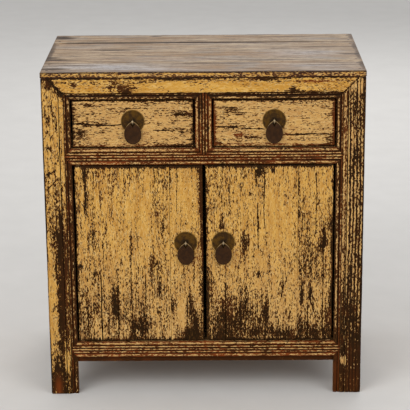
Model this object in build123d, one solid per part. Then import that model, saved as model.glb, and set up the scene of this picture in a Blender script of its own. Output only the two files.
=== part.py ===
from build123d import *
import os

# A low Chinese cabinet with two drawers over two doors, as stands beside or on a kang (a brick bed).
# Millimetres, +Z up, the front faces -Y. The pieces are laid out with y = 0 at the posts' front
# faces and y growing towards the back; the last lines move them so that the origin lies on the
# floor, in the middle of the whole object's length and depth.

# ---- overall sizes
WIDTH = 800.0                # over the posts
DEPTH = 475.0                # posts' front faces to the back
HEIGHT = 850.0               # floor to the top boards

# ---- top boards, laid from the front to the back
TOP_THICKNESS = 15.0
TOP_FRONT_BOARD = 117.0      # depth of the front board
TOP_BACK_BOARD = 108.0       # depth of the back board; the middle one fills what is left
TOP_ARRIS = 2.0              # softened front and end edges
NAIL_INSET = 15.0            # nail from the end of a board
NAIL_SPREAD = 25.0           # nail from the long edge of a board
NAIL_RADIUS = 1.6
NAIL_HEAD_RADIUS = 3.4
NAIL_HEAD_THICKNESS = 1.0
NAIL_LENGTH = 40.0

# ---- posts
POST_WIDTH = 54.6
FRONT_POST_DEPTH = 50.0
BACK_POST_WIDTH = 50.0
BACK_POST_DEPTH = 45.0
POST_ARRIS = 6.0             # rounded outer front edge
POST_BEAD = 10.8             # bead along the inner edge of the front face
FOOT_CHAMFER = 3.0

# ---- mouldings
BEAD_SINK = 1.6              # how far a bead rounds down to its edges
GROOVE_WIDTH = 1.5           # groove between two beads
GROOVE_DEPTH = 3.0
MOULDING_SETBACK = 3.5       # mouldings behind the posts' front faces
WIDE_BEAD = 9.5              # bead next to an opening
THIN_BEAD = 5.6
STRIP_DEPTH = 18.0
SHOULDER_DEPTH = 12.0        # thickness of the pointed shoulders, where mouldings meet in mitres

# ---- rails, muntin and their layout
RAIL_DEPTH = 30.0
TOP_RAIL_HEIGHT = 39.0
TOP_RAIL_ARRIS = 2.0         # softened lower edge of its face
MITRE_DEPTH = 14.0           # thickness of the mitred face of the top front rail
SIDE_RAIL_THICKNESS = 30.0
BACK_RAIL_THICKNESS = 25.0
LEG_HEIGHT = 100.5           # floor to the bottom front rail
DRAWER_OPENING = 124.0       # height between the middle rail and the top strip
LOWER_STRIP_HEIGHT = 14.5
LOWER_STRIP_THICKNESS = 12.0
LOWER_STRIP_SETBACK = 12.0

# ---- joints of the frame
TENON_LENGTH = 24.0
TENON_THICKNESS = 7.0
TENON_SHOULDER = 6.0         # rail edge to tenon edge
SIDE_TENON_LENGTH = 18.0
STUB_TENON = 10.0            # stub tenons of the muntin and the runners
TONGUE = 8.0                 # panel edge let into a groove

# ---- panels
SIDE_PANEL_THICKNESS = 12.0
SIDE_PANEL_SETBACK = 5.0     # behind the posts' outer faces
BACK_BOARD_THICKNESS = 10.0
BACK_BOARD_SETBACK = 10.0    # in front of the back faces of the posts
FLOOR_THICKNESS = 12.0
FLOOR_DROP = 2.0             # floor below the top of the bottom rails

# ---- drawer runners
RUNNER_THICKNESS = 18.0
RUNNER_LEDGE = 24.0          # how far a runner reaches under a drawer
RUNNER_BODY = 51.0           # side runner outwards of the drawer's outer face
GUIDE_HEIGHT = 30.0
GUIDE_CLEARANCE = 1.0
RUNNER_CLEARANCE = 0.3

# ---- doors
DOOR_THICKNESS = 19.0
FRONT_SETBACK = 6.5          # doors and drawers behind the posts' front faces
DOOR_SIDE_GAP = 4.5
DOOR_MEETING_GAP = 7.0
DOOR_TOP_GAP = 3.4
DOOR_BOTTOM_GAP = 3.0
DOOR_ARRIS = 2.5
LEFT_MEETING_PLANK = 83.5    # width of the plank beside the meeting edge
RIGHT_MEETING_PLANK = 231.5
BATTEN_HEIGHT = 40.0
BATTEN_THICKNESS = 18.0
BATTEN_LET_IN = 4.0
BATTEN_INSET = 60.0          # batten from the door's top or bottom
BATTEN_END = 28.0            # batten from the door's side edges
PIVOT_RADIUS = 6.0
PIVOT_ENTRY = 9.0            # length of a pivot inside its socket
PIVOT_END_GAP = 0.6
PIVOT_CLEARANCE = 0.08       # radial

# ---- drawers
DRAWER_LENGTH = 400.0        # front to back
DRAWER_FRONT_THICKNESS = 20.0
DRAWER_SIDE_THICKNESS = 12.0
DRAWER_BOTTOM_THICKNESS = 8.0
DRAWER_BOTTOM_RISE = 6.0     # drawer's underside to its bottom board
DRAWER_GROOVE = 6.0          # depth of the groove that holds the bottom board
DRAWER_LAP = 12.0            # sides lapped into the front
DRAWER_SIDE_DROP = 10.0      # sides lower than the front
DRAWER_SIDE_GAP = 4.2
DRAWER_TOP_GAP = 2.4
DRAWER_BOTTOM_GAP = 3.4
DRAWER_ARRIS = 1.5

# ---- pulls
PLATE_RADIUS = 29.5
PLATE_THICKNESS = 1.2
PIN_WIRE = 1.3               # radius of the wire of the split pin
EYE_RADIUS = 4.6             # centre line of the pin's eye
PIN_HOLE_CLEARANCE = 0.1
CLINCH_LENGTH = 9.0          # ends of the pin bent over behind the wood
CLINCH_THICKNESS = 1.2
DROP_THICKNESS = 2.0
DROP_APEX = 2.4              # top of the drop above its axis
DROP_LENGTH = 57.0           # lowest point below the axis
DROP_HALF_WIDTH = 21.3
DROP_SHOULDER = 31.5         # widest level below the axis
DROP_BAR = 1.5               # lower face of the bar that hangs in the eye, below the axis
DROP_SLOT_NECK = 2.4         # half width of the drop's hole at the bar
DROP_SLOT_WIDTH = 5.5        # half width of the hole where it is widest
DROP_SLOT_WAIST = 6.5        # that level below the axis
DROP_SLOT_POINT = 13.5       # lower point of the hole below the axis
DOOR_PULL_INSET = 44.0       # pull from the door's meeting edge
DOOR_PULL_RISE = 31.0        # pull above the middle of the door
DRAWER_PULL_RISE = 6.5       # pull above the middle of the drawer front

# ---- levels and faces that follow from the sizes above
RAIL_BEADS = [WIDE_BEAD, THIN_BEAD, THIN_BEAD, THIN_BEAD, WIDE_BEAD]
STRIP_BEADS = [THIN_BEAD, WIDE_BEAD]
rail_face = sum(RAIL_BEADS) + GROOVE_WIDTH * (len(RAIL_BEADS) - 1)
strip_width = sum(STRIP_BEADS) + GROOVE_WIDTH

post_inner = WIDTH / 2 - POST_WIDTH
back_post_inner = WIDTH / 2 - BACK_POST_WIDTH
opening_half = post_inner - strip_width

frame_top = HEIGHT - TOP_THICKNESS
top_rail_base = frame_top - TOP_RAIL_HEIGHT
drawer_opening_top = top_rail_base - strip_width
middle_rail_top = drawer_opening_top - DRAWER_OPENING
middle_rail_base = middle_rail_top - rail_face
bottom_rail_top = LEG_HEIGHT + rail_face

strip_back = MOULDING_SETBACK + STRIP_DEPTH
shoulder_back = MOULDING_SETBACK + SHOULDER_DEPTH
rail_back = MOULDING_SETBACK + RAIL_DEPTH
back_rail_front = DEPTH - BACK_RAIL_THICKNESS
back_post_front = DEPTH - BACK_POST_DEPTH
side_rail_inner = WIDTH / 2 - SIDE_RAIL_THICKNESS

drawer_base = middle_rail_top + DRAWER_BOTTOM_GAP
drawer_top = drawer_opening_top - DRAWER_TOP_GAP
drawer_outer = opening_half - DRAWER_SIDE_GAP
drawer_inner = rail_face / 2 + DRAWER_SIDE_GAP
runner_top = drawer_base - RUNNER_CLEARANCE
runner_base = runner_top - RUNNER_THICKNESS

door_base = bottom_rail_top + DOOR_BOTTOM_GAP
door_top = middle_rail_base - DOOR_TOP_GAP
door_outer = opening_half - DOOR_SIDE_GAP
door_inner = DOOR_MEETING_GAP / 2
door_back = FRONT_SETBACK + DOOR_THICKNESS
pivot_x = door_outer - DOOR_THICKNESS / 2
pivot_y = FRONT_SETBACK + DOOR_THICKNESS / 2

eye_y = FRONT_SETBACK - PLATE_THICKNESS - EYE_RADIUS - PIN_WIRE
foremost = eye_y - EYE_RADIUS - PIN_WIRE


# ---- shapes used by several pieces
def block(x, y, z):
    """Box between a low and a high value along each axis."""
    spans = (x, y, z)
    size = [high - low for low, high in spans]
    middle = [(high + low) / 2 for low, high in spans]
    return Pos(*middle) * Box(*size)


def bead(start, width):
    """Front line of one bead, which rounds down to BEAD_SINK at both edges."""
    return ThreePointArc((start, BEAD_SINK), (start + width / 2, 0), (start + width, BEAD_SINK))


def upright(outline, length):
    """Solid between the floor and length whose plan is the closed outline."""
    return extrude(make_face(outline), amount=length, dir=(0, 0, 1))


def beaded_bar(widths, depth, length):
    """Upright bar, its beads side by side from x = 0 and their tops at y = 0."""
    outline = []
    x = 0.0
    for number, width in enumerate(widths):
        if number:
            groove_end = x + GROOVE_WIDTH
            outline.append(Polyline((x, BEAD_SINK), (x, GROOVE_DEPTH), (groove_end, GROOVE_DEPTH),
                                    (groove_end, BEAD_SINK)))
            x = groove_end
        outline.append(bead(x, width))
        x += width
    outline.append(Polyline((x, BEAD_SINK), (x, depth), (0, depth), (0, BEAD_SINK)))
    return upright(outline, length)


def lying(bar):
    """Turns an upright bar to run along +X, with what was at its low x side on top."""
    return Rot(0, 90, 0) * bar


def prism(corners, front, back):
    """Solid between two depths whose front view is the polygon of (x, z) corners."""
    face = make_face(Polyline([(x, front, z) for x, z in corners], close=True))
    return extrude(face, amount=back - front, dir=(0, 1, 0))


def both_sides(piece):
    """The piece together with its mirror image on the other side."""
    return piece + mirror(piece, about=Plane.YZ)


pieces = {}


def add(name, piece):
    pieces[name] = piece


def add_pair(name, piece):
    """A left-hand piece and its right-hand mirror image."""
    pieces[name + "_left"] = piece
    pieces[name + "_right"] = mirror(piece, about=Plane.YZ)


# ---- tenons, each used for the piece that has it and for the mortise that takes it
def front_tenon(base, top, back):
    """Left tenon of a front rail, in the rear part of the rail."""
    x = (-post_inner - TENON_LENGTH, -post_inner)
    return block(x, (back - TENON_SHOULDER / 2 - TENON_THICKNESS, back - TENON_SHOULDER / 2),
                 (base + TENON_SHOULDER, top - TENON_SHOULDER))


def back_tenon(base, top):
    """Left tenon of a back rail, clear of the back boards' grooves above and below it."""
    middle = DEPTH - BACK_BOARD_SETBACK - BACK_BOARD_THICKNESS / 2
    return block((-back_post_inner - TENON_LENGTH, -back_post_inner),
                 (middle - TENON_THICKNESS / 2, middle + TENON_THICKNESS / 2), (base, top))


def side_tenons(base, top):
    """Front and back tenons of a left side rail."""
    outer = -WIDTH / 2 + SIDE_PANEL_SETBACK + SIDE_PANEL_THICKNESS
    x = (outer - TENON_THICKNESS, outer)
    front = block(x, (FRONT_POST_DEPTH - SIDE_TENON_LENGTH, FRONT_POST_DEPTH), (base, top))
    back = block(x, (back_post_front, back_post_front + SIDE_TENON_LENGTH), (base, top))
    return front + back


panel_shoulder = TONGUE + TENON_SHOULDER
top_front_tenon = front_tenon(top_rail_base, frame_top, RAIL_DEPTH)
middle_front_tenon = front_tenon(middle_rail_base, middle_rail_top, rail_back)
bottom_front_tenon = front_tenon(LEG_HEIGHT, bottom_rail_top, rail_back)
top_back_tenon = back_tenon(top_rail_base + panel_shoulder, frame_top - TENON_SHOULDER)
middle_back_tenon = back_tenon(middle_rail_base + panel_shoulder, middle_rail_top - panel_shoulder)
bottom_back_tenon = back_tenon(LEG_HEIGHT + TENON_SHOULDER, bottom_rail_top - panel_shoulder)
top_side_tenons = side_tenons(top_rail_base + panel_shoulder, frame_top - TENON_SHOULDER)
bottom_side_tenons = side_tenons(LEG_HEIGHT + TENON_SHOULDER, bottom_rail_top - panel_shoulder)

# ---- side panels: boards glued to one panel, its edges in grooves of the posts and side rails
panel_outer = -WIDTH / 2 + SIDE_PANEL_SETBACK
side_panel = block((panel_outer, panel_outer + SIDE_PANEL_THICKNESS),
                   (FRONT_POST_DEPTH - TONGUE, back_post_front + TONGUE),
                   (bottom_rail_top - TONGUE, top_rail_base + TONGUE))
add_pair("side_panel", side_panel)

# ---- back boards: three boards lying in grooves of the back posts and rails
board_back = DEPTH - BACK_BOARD_SETBACK
lower_board_joint = (bottom_rail_top + middle_rail_base) / 2
back_board_levels = {
    "back_board_bottom": (bottom_rail_top - TONGUE, lower_board_joint),
    "back_board_middle": (lower_board_joint, middle_rail_base + TONGUE),
    "back_board_top": (middle_rail_top - TONGUE, top_rail_base + TONGUE),
}
for name, level in back_board_levels.items():
    half = back_post_inner + TONGUE
    add(name, block((-half, half), (board_back - BACK_BOARD_THICKNESS, board_back), level))
back_boards = [pieces[name] for name in back_board_levels]

# ---- floor of the cupboard: notched round the posts, let into the front rail and the side rails
floor_top = bottom_rail_top - FLOOR_DROP
floor_level = (floor_top - FLOOR_THICKNESS, floor_top)
floor_half = side_rail_inner + TONGUE
cupboard_floor = (
    block((-post_inner, post_inner), (rail_back - TONGUE, FRONT_POST_DEPTH), floor_level)
    + block((-floor_half, floor_half), (FRONT_POST_DEPTH, back_post_front), floor_level)
    + block((-back_post_inner, back_post_inner), (back_post_front, back_rail_front), floor_level)
)
add("cupboard_floor", cupboard_floor)

# ---- nails: they hold each top board down on the posts and side rails, heads flush with the boards
middle_board_start = TOP_FRONT_BOARD
back_board_start = DEPTH - TOP_BACK_BOARD
board_spans = {
    "top_board_front": (0.0, middle_board_start),
    "top_board_middle": (middle_board_start, back_board_start),
    "top_board_back": (back_board_start, DEPTH),
}
nail = (Pos(0, 0, -NAIL_LENGTH / 2) * Cylinder(NAIL_RADIUS, NAIL_LENGTH)
        + Pos(0, 0, -NAIL_HEAD_THICKNESS / 2) * Cylinder(NAIL_HEAD_RADIUS, NAIL_HEAD_THICKNESS))
nail_x = WIDTH / 2 - NAIL_INSET
nail_places = [(x, y, HEIGHT)
               for start, end in board_spans.values()
               for y in (start + NAIL_SPREAD, end - NAIL_SPREAD)
               for x in (-nail_x, nail_x)]
top_nails = Compound([Pos(*place) * nail for place in nail_places])
add("top_nails", top_nails)

# ---- top boards
for name, span in board_spans.items():
    board = block((-WIDTH / 2, WIDTH / 2), span, (frame_top, HEIGHT))
    outer_edges = board.faces().sort_by(Axis.X)[0].edges() + board.faces().sort_by(Axis.X)[-1].edges()
    if span[0] == 0:
        outer_edges += board.faces().sort_by(Axis.Y)[0].edges()
    add(name, fillet(outer_edges.group_by(Axis.Z)[-1], TOP_ARRIS) - top_nails)

# ---- drawer runners: ledges under the drawers' sides, with guides that keep the drawers straight
guide_level = (runner_top, runner_top + GUIDE_HEIGHT)
runner_level = (runner_base, runner_top)
stub_level = (runner_base + RUNNER_THICKNESS / 4, runner_top - RUNNER_THICKNESS / 4)
runner_outer = drawer_outer + RUNNER_BODY
runner_stub_x = (-runner_outer + TENON_SHOULDER, -post_inner - TENON_SHOULDER)
runner_stubs = (block(runner_stub_x, (FRONT_POST_DEPTH - STUB_TENON, FRONT_POST_DEPTH), stub_level)
                + block(runner_stub_x, (back_post_front, back_post_front + STUB_TENON), stub_level))
between_posts = (FRONT_POST_DEPTH, back_post_front)
ledge_edge = -drawer_outer + RUNNER_LEDGE
side_runner = (
    block((-runner_outer, ledge_edge), between_posts, runner_level)
    + block((-post_inner, ledge_edge), (rail_back, FRONT_POST_DEPTH), runner_level)
    + block((-post_inner, -drawer_outer - GUIDE_CLEARANCE), between_posts, guide_level)
    + runner_stubs
)
add_pair("drawer_runner", side_runner)

middle_runner_half = drawer_inner + RUNNER_LEDGE
middle_guide_half = drawer_inner - GUIDE_CLEARANCE
middle_runner_stub = block((-middle_guide_half, middle_guide_half), (rail_back - TONGUE, rail_back),
                           (runner_base + TENON_SHOULDER / 2, middle_rail_top - TENON_SHOULDER / 2))
middle_runner = (
    block((-middle_runner_half, middle_runner_half), (rail_back, back_rail_front), runner_level)
    + block((-middle_guide_half, middle_guide_half), (rail_back, back_rail_front), guide_level)
    + middle_runner_stub
)
add("drawer_runner_middle", middle_runner)

# ---- front posts: rounded outer edge, one bead along the inner edge, mitred round the top rail
bead_start = POST_WIDTH - POST_BEAD
flat_end = bead_start - GROOVE_WIDTH
arris_middle = POST_ARRIS * (1 - 0.5 ** 0.5)
post_outline = [
    Line((0, FRONT_POST_DEPTH), (0, POST_ARRIS)),
    ThreePointArc((0, POST_ARRIS), (arris_middle, arris_middle), (POST_ARRIS, 0)),
    Polyline((POST_ARRIS, 0), (flat_end, 0), (flat_end, GROOVE_DEPTH), (bead_start, GROOVE_DEPTH),
             (bead_start, BEAD_SINK)),
    bead(bead_start, POST_BEAD),
    Polyline((POST_WIDTH, BEAD_SINK), (POST_WIDTH, FRONT_POST_DEPTH), (0, FRONT_POST_DEPTH)),
]
mitre_outer = post_inner + TOP_RAIL_HEIGHT
mitred_face = prism([(-post_inner, top_rail_base), (post_inner, top_rail_base),
                     (mitre_outer, frame_top), (-mitre_outer, frame_top)], 0, MITRE_DEPTH)
front_post = Pos(-WIDTH / 2, 0, 0) * upright(post_outline, frame_top)
front_post = chamfer(front_post.faces().sort_by(Axis.Z)[0].edges().group_by(Axis.X)[0], FOOT_CHAMFER)
for cut in (mitred_face, top_front_tenon, middle_front_tenon, bottom_front_tenon, top_side_tenons,
            bottom_side_tenons, side_panel, runner_stubs, top_nails):
    front_post -= cut
add_pair("front_post", front_post)

# ---- back posts
back_post = block((-WIDTH / 2, -back_post_inner), (back_post_front, DEPTH), (0, frame_top))
back_post = chamfer(back_post.faces().sort_by(Axis.Z)[0].edges(), FOOT_CHAMFER)
for cut in (top_back_tenon, middle_back_tenon, bottom_back_tenon, top_side_tenons, bottom_side_tenons,
            side_panel, runner_stubs, top_nails, *back_boards):
    back_post -= cut
add_pair("back_post", back_post)

# ---- pointed shoulders: where two mouldings meet, one ends in a point that is let into the other,
# ---- so that the wide beads run round each opening with mitred corners
def rail_shoulders(base):
    """Front view of a front rail whose ends narrow at 45 degrees across the side strips."""
    top = base + rail_face
    right = [(opening_half, base), (post_inner, base + strip_width), (post_inner, top - strip_width),
             (opening_half, top)]
    left = [(-x, z) for x, z in reversed(right)]
    return prism(right + left, 0, shoulder_back)


muntin_half = rail_face / 2
muntin_tip_half = muntin_half - strip_width
muntin_shoulders = prism([(-muntin_half, middle_rail_top), (0, middle_rail_top - muntin_half),
                          (muntin_half, middle_rail_top), (muntin_half, drawer_opening_top),
                          (muntin_tip_half, top_rail_base), (-muntin_tip_half, top_rail_base),
                          (-muntin_half, drawer_opening_top)], 0, shoulder_back)
middle_rail_shoulders = rail_shoulders(middle_rail_base)
bottom_rail_shoulders = rail_shoulders(LEG_HEIGHT)

# ---- muntin between the drawers
stub_half = muntin_half - TENON_SHOULDER
muntin_top_stub = block((-stub_half, stub_half), (strip_back, RAIL_DEPTH - TENON_SHOULDER / 2),
                        (top_rail_base, top_rail_base + STUB_TENON))
muntin_bar = Pos(-muntin_half, MOULDING_SETBACK, 0) * beaded_bar(RAIL_BEADS, STRIP_DEPTH, top_rail_base)
muntin_body = block((-muntin_half, muntin_half), (0, strip_back), (middle_rail_top, drawer_opening_top))
muntin = ((muntin_bar & muntin_shoulders) + (muntin_bar & muntin_body) + muntin_top_stub
          + block((-muntin_half, muntin_half), (strip_back, rail_back), (middle_rail_top, top_rail_base)))
add("drawer_muntin", muntin)

# ---- inner strips: beaded, running round the opening and down the legs, mitred at the top
strip_outer_corner = (-post_inner, top_rail_base)
strip_inner_corner = (-opening_half, drawer_opening_top)
side_mitre = prism([strip_outer_corner, strip_inner_corner, (-opening_half, top_rail_base)],
                   0, strip_back)
side_strip = (Pos(-post_inner, MOULDING_SETBACK, 0) * beaded_bar(STRIP_BEADS, STRIP_DEPTH, top_rail_base)
              - side_mitre - middle_rail_shoulders - bottom_rail_shoulders)
add_pair("inner_strip", side_strip)
top_strip = Pos(-post_inner, MOULDING_SETBACK, top_rail_base) * lying(
    beaded_bar(STRIP_BEADS, STRIP_DEPTH, 2 * post_inner))
top_strip -= both_sides(prism([strip_outer_corner, strip_inner_corner,
                               (-post_inner, drawer_opening_top)], 0, strip_back))
add("inner_strip_top", top_strip - muntin_shoulders)

# ---- door pivots and their sockets in the rails above and below
upper_pivot = Pos(-pivot_x, pivot_y, door_top) * Cylinder(
    PIVOT_RADIUS, PIVOT_ENTRY + DOOR_TOP_GAP, align=(Align.CENTER, Align.CENTER, Align.MIN))
lower_pivot = Pos(-pivot_x, pivot_y, door_base) * Cylinder(
    PIVOT_RADIUS, PIVOT_ENTRY + DOOR_BOTTOM_GAP, align=(Align.CENTER, Align.CENTER, Align.MAX))
socket = Cylinder(PIVOT_RADIUS + PIVOT_CLEARANCE, PIVOT_ENTRY + PIVOT_END_GAP,
                  align=(Align.CENTER, Align.CENTER, Align.MIN))
upper_sockets = both_sides(Pos(-pivot_x, pivot_y, middle_rail_base) * socket)
lower_sockets = both_sides(Pos(-pivot_x, pivot_y, bottom_rail_top) * Rot(180, 0, 0) * socket)


# ---- front rails
def beaded_rail(base, tenon, shoulders):
    """Front rail: beaded face with pointed ends, and a plain rear part between the posts."""
    level = (base, base + rail_face)
    bar = Pos(-post_inner, MOULDING_SETBACK, level[1]) * lying(
        beaded_bar(RAIL_BEADS, STRIP_DEPTH, 2 * post_inner))
    middle = bar & block((-opening_half, opening_half), (0, strip_back), level)
    rear = block((-post_inner, post_inner), (strip_back, rail_back), level)
    return (bar & shoulders) + middle + rear + both_sides(tenon)


middle_rail = (beaded_rail(middle_rail_base, middle_front_tenon, middle_rail_shoulders)
               - muntin_shoulders - middle_runner_stub - upper_sockets)
bottom_rail = (beaded_rail(LEG_HEIGHT, bottom_front_tenon, bottom_rail_shoulders)
               - cupboard_floor - lower_sockets)
add("middle_front_rail", middle_rail)
add("bottom_front_rail", bottom_rail)

top_rail = mitred_face + block((-post_inner, post_inner), (MITRE_DEPTH, RAIL_DEPTH),
                               (top_rail_base, frame_top))
top_rail = fillet(top_rail.edges().filter_by(Axis.X).group_by(Axis.Z)[0].sort_by(Axis.Y)[0], TOP_RAIL_ARRIS)
add("top_front_rail", top_rail + both_sides(top_front_tenon) - muntin_top_stub)

# ---- thin strip set back under the bottom front rail
add("lower_strip", block((-opening_half, opening_half),
                         (LOWER_STRIP_SETBACK, LOWER_STRIP_SETBACK + LOWER_STRIP_THICKNESS),
                         (LEG_HEIGHT - LOWER_STRIP_HEIGHT, LEG_HEIGHT)))


# ---- back rails and side rails
def back_rail(base, top, tenon):
    rail = block((-back_post_inner, back_post_inner), (back_rail_front, DEPTH), (base, top))
    rail += both_sides(tenon)
    for board in back_boards:
        rail -= board
    return rail


add("top_back_rail", back_rail(top_rail_base, frame_top, top_back_tenon))
add("middle_back_rail", back_rail(middle_rail_base, middle_rail_top, middle_back_tenon))
add("bottom_back_rail", back_rail(LEG_HEIGHT, bottom_rail_top, bottom_back_tenon))


def side_rail(base, top, tenons):
    rail = block((-WIDTH / 2, -side_rail_inner), (FRONT_POST_DEPTH, back_post_front), (base, top))
    return rail + tenons - side_panel - cupboard_floor - top_nails


add_pair("top_side_rail", side_rail(top_rail_base, frame_top, top_side_tenons))
add_pair("bottom_side_rail", side_rail(LEG_HEIGHT, bottom_rail_top, bottom_side_tenons))


# ---- pulls: a round plate, a split pin with an eye, and a drop that hangs in the eye
def drop_outline():
    """Pointed arch above the widest level, half an ellipse below it."""
    arch_radius = (DROP_HALF_WIDTH ** 2 + (DROP_SHOULDER + DROP_APEX) ** 2) / (2 * DROP_HALF_WIDTH)
    middle_height = (DROP_SHOULDER + DROP_APEX) / 2
    middle_x = DROP_HALF_WIDTH - arch_radius + (arch_radius ** 2 - middle_height ** 2) ** 0.5
    right_arch = ThreePointArc((0, DROP_APEX), (middle_x, middle_height - DROP_SHOULDER),
                               (DROP_HALF_WIDTH, -DROP_SHOULDER))
    left_arch = mirror(right_arch, about=Plane.YZ)
    bowl = EllipticalCenterArc((0, -DROP_SHOULDER), DROP_HALF_WIDTH, DROP_LENGTH - DROP_SHOULDER,
                               start_angle=180, arc_size=180)
    return [right_arch, bowl, left_arch]


def pull_drop():
    """The drop with its eye axis along X through the origin."""
    plate = make_face(drop_outline())
    slot = make_face(Polyline((-DROP_SLOT_NECK, -DROP_BAR), (DROP_SLOT_NECK, -DROP_BAR),
                              (DROP_SLOT_WIDTH, -DROP_SLOT_WAIST), (0, -DROP_SLOT_POINT),
                              (-DROP_SLOT_WIDTH, -DROP_SLOT_WAIST), close=True))
    return Rot(90, 0, 0) * Pos(0, 0, -DROP_THICKNESS / 2) * extrude(plate - slot, amount=DROP_THICKNESS,
                                                                    dir=(0, 0, 1))


def along_depth(radius, front, back):
    """Round bar along Y."""
    bar = Cylinder(radius, back - front, align=(Align.CENTER, Align.CENTER, Align.MIN))
    return Pos(0, front, 0) * Rot(-90, 0, 0) * bar


def pull_pin(wood_thickness):
    """Split pin: eye in front, shank through the wood, ends bent up and down behind it."""
    wood_back = FRONT_SETBACK + wood_thickness
    eye = Pos(0, eye_y, 0) * Rot(0, 90, 0) * Torus(EYE_RADIUS, PIN_WIRE)
    shank = along_depth(PIN_WIRE, eye_y + EYE_RADIUS, wood_back + CLINCH_THICKNESS / 2)
    clinch = block((-PIN_WIRE, PIN_WIRE), (wood_back, wood_back + CLINCH_THICKNESS),
                   (-CLINCH_LENGTH, CLINCH_LENGTH))
    return eye + shank + clinch


pin_hole = along_depth(PIN_WIRE + PIN_HOLE_CLEARANCE, 0, DEPTH)
pull_plate = along_depth(PLATE_RADIUS, FRONT_SETBACK - PLATE_THICKNESS, FRONT_SETBACK)
pull_plate = fillet(pull_plate.edges().sort_by(Axis.Y)[0], PLATE_THICKNESS / 3) - pin_hole


def add_pull(owner, x, z, wood_thickness):
    add("pull_" + owner + "_plate", Pos(x, 0, z) * pull_plate)
    add("pull_" + owner + "_pin", Pos(x, 0, z) * pull_pin(wood_thickness))
    add("pull_" + owner + "_drop", Pos(x, eye_y, z) * pull_drop())


# ---- doors: two planks glued edge to edge, held flat by two battens let into the back
def add_door(side, meeting_plank):
    def place(piece):
        return piece if side == "left" else mirror(piece, about=Plane.YZ)

    level = (door_base, door_top)
    y = (FRONT_SETBACK, door_back)
    plank_joint = -door_inner - meeting_plank
    hinge_plank = block((-door_outer, plank_joint), y, level)
    hinge_plank = fillet(hinge_plank.edges().filter_by(Axis.Z).group_by(Axis.X)[0], DOOR_ARRIS)
    hinge_plank += upper_pivot + lower_pivot
    meeting = block((plank_joint, -door_inner), y, level)
    batten_x = (-door_outer + BATTEN_END, -door_inner - BATTEN_END)
    batten_y = (door_back - BATTEN_LET_IN, door_back - BATTEN_LET_IN + BATTEN_THICKNESS)
    battens = [block(batten_x, batten_y, (base, base + BATTEN_HEIGHT))
               for base in (door_base + BATTEN_INSET, door_top - BATTEN_INSET - BATTEN_HEIGHT)]
    pull_x = door_inner + DOOR_PULL_INSET
    pull_z = (door_base + door_top) / 2 + DOOR_PULL_RISE
    hole = Pos(-pull_x, 0, pull_z) * pin_hole
    name = "door_" + side
    add(name + "_hinge_plank", place(hinge_plank - battens[0] - battens[1] - hole))
    add(name + "_meeting_plank", place(meeting - battens[0] - battens[1] - hole))
    add(name + "_battens", place(Compound(battens)))
    add_pull(name, -pull_x if side == "left" else pull_x, pull_z, DOOR_THICKNESS)


add_door("left", LEFT_MEETING_PLANK)
add_door("right", RIGHT_MEETING_PLANK)


# ---- drawers: the sides lapped into the front, back between the sides, bottom in grooves
def add_drawer(side):
    low, high = (-drawer_outer, -drawer_inner) if side == "left" else (drawer_inner, drawer_outer)
    front_back = FRONT_SETBACK + DRAWER_FRONT_THICKNESS
    end = FRONT_SETBACK + DRAWER_LENGTH
    side_start = front_back - DRAWER_LAP
    side_level = (drawer_base, drawer_top - DRAWER_SIDE_DROP)
    inner_low = low + DRAWER_SIDE_THICKNESS
    inner_high = high - DRAWER_SIDE_THICKNESS
    bottom_base = drawer_base + DRAWER_BOTTOM_RISE
    bottom = block((inner_low - DRAWER_GROOVE, inner_high + DRAWER_GROOVE),
                   (front_back - DRAWER_GROOVE, end), (bottom_base, bottom_base + DRAWER_BOTTOM_THICKNESS))
    low_side = block((low, inner_low), (side_start, end), side_level)
    high_side = block((inner_high, high), (side_start, end), side_level)
    back = block((inner_low, inner_high), (end - DRAWER_SIDE_THICKNESS, end),
                 (bottom_base + DRAWER_BOTTOM_THICKNESS, side_level[1]))
    pull_x = (low + high) / 2
    pull_z = (drawer_base + drawer_top) / 2 + DRAWER_PULL_RISE
    front = block((low, high), (FRONT_SETBACK, front_back), (drawer_base, drawer_top))
    front = fillet(front.faces().sort_by(Axis.Y)[0].edges(), DRAWER_ARRIS)
    front = front - low_side - high_side - bottom - Pos(pull_x, 0, pull_z) * pin_hole
    outer_side, inner_side = (low_side, high_side) if side == "left" else (high_side, low_side)
    name = "drawer_" + side
    add(name + "_front", front)
    add(name + "_outer_side", outer_side - bottom)
    add(name + "_inner_side", inner_side - bottom)
    add(name + "_back", back)
    add(name + "_bottom", bottom)
    add_pull(name, pull_x, pull_z, DRAWER_FRONT_THICKNESS)


add_drawer("left")
add_drawer("right")

# ---- move to the frame's origin and write every piece
os.makedirs("parts", exist_ok=True)
to_origin = Pos(0, -(foremost + DEPTH) / 2, 0)
for name, piece in pieces.items():
    export_step(to_origin * piece, "parts/" + name + ".step")
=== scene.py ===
"""Kang cabinet: the finish and the fine shape of every piece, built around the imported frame."""
import math

import bpy
import numpy as np
from mathutils import Matrix, Vector


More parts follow.
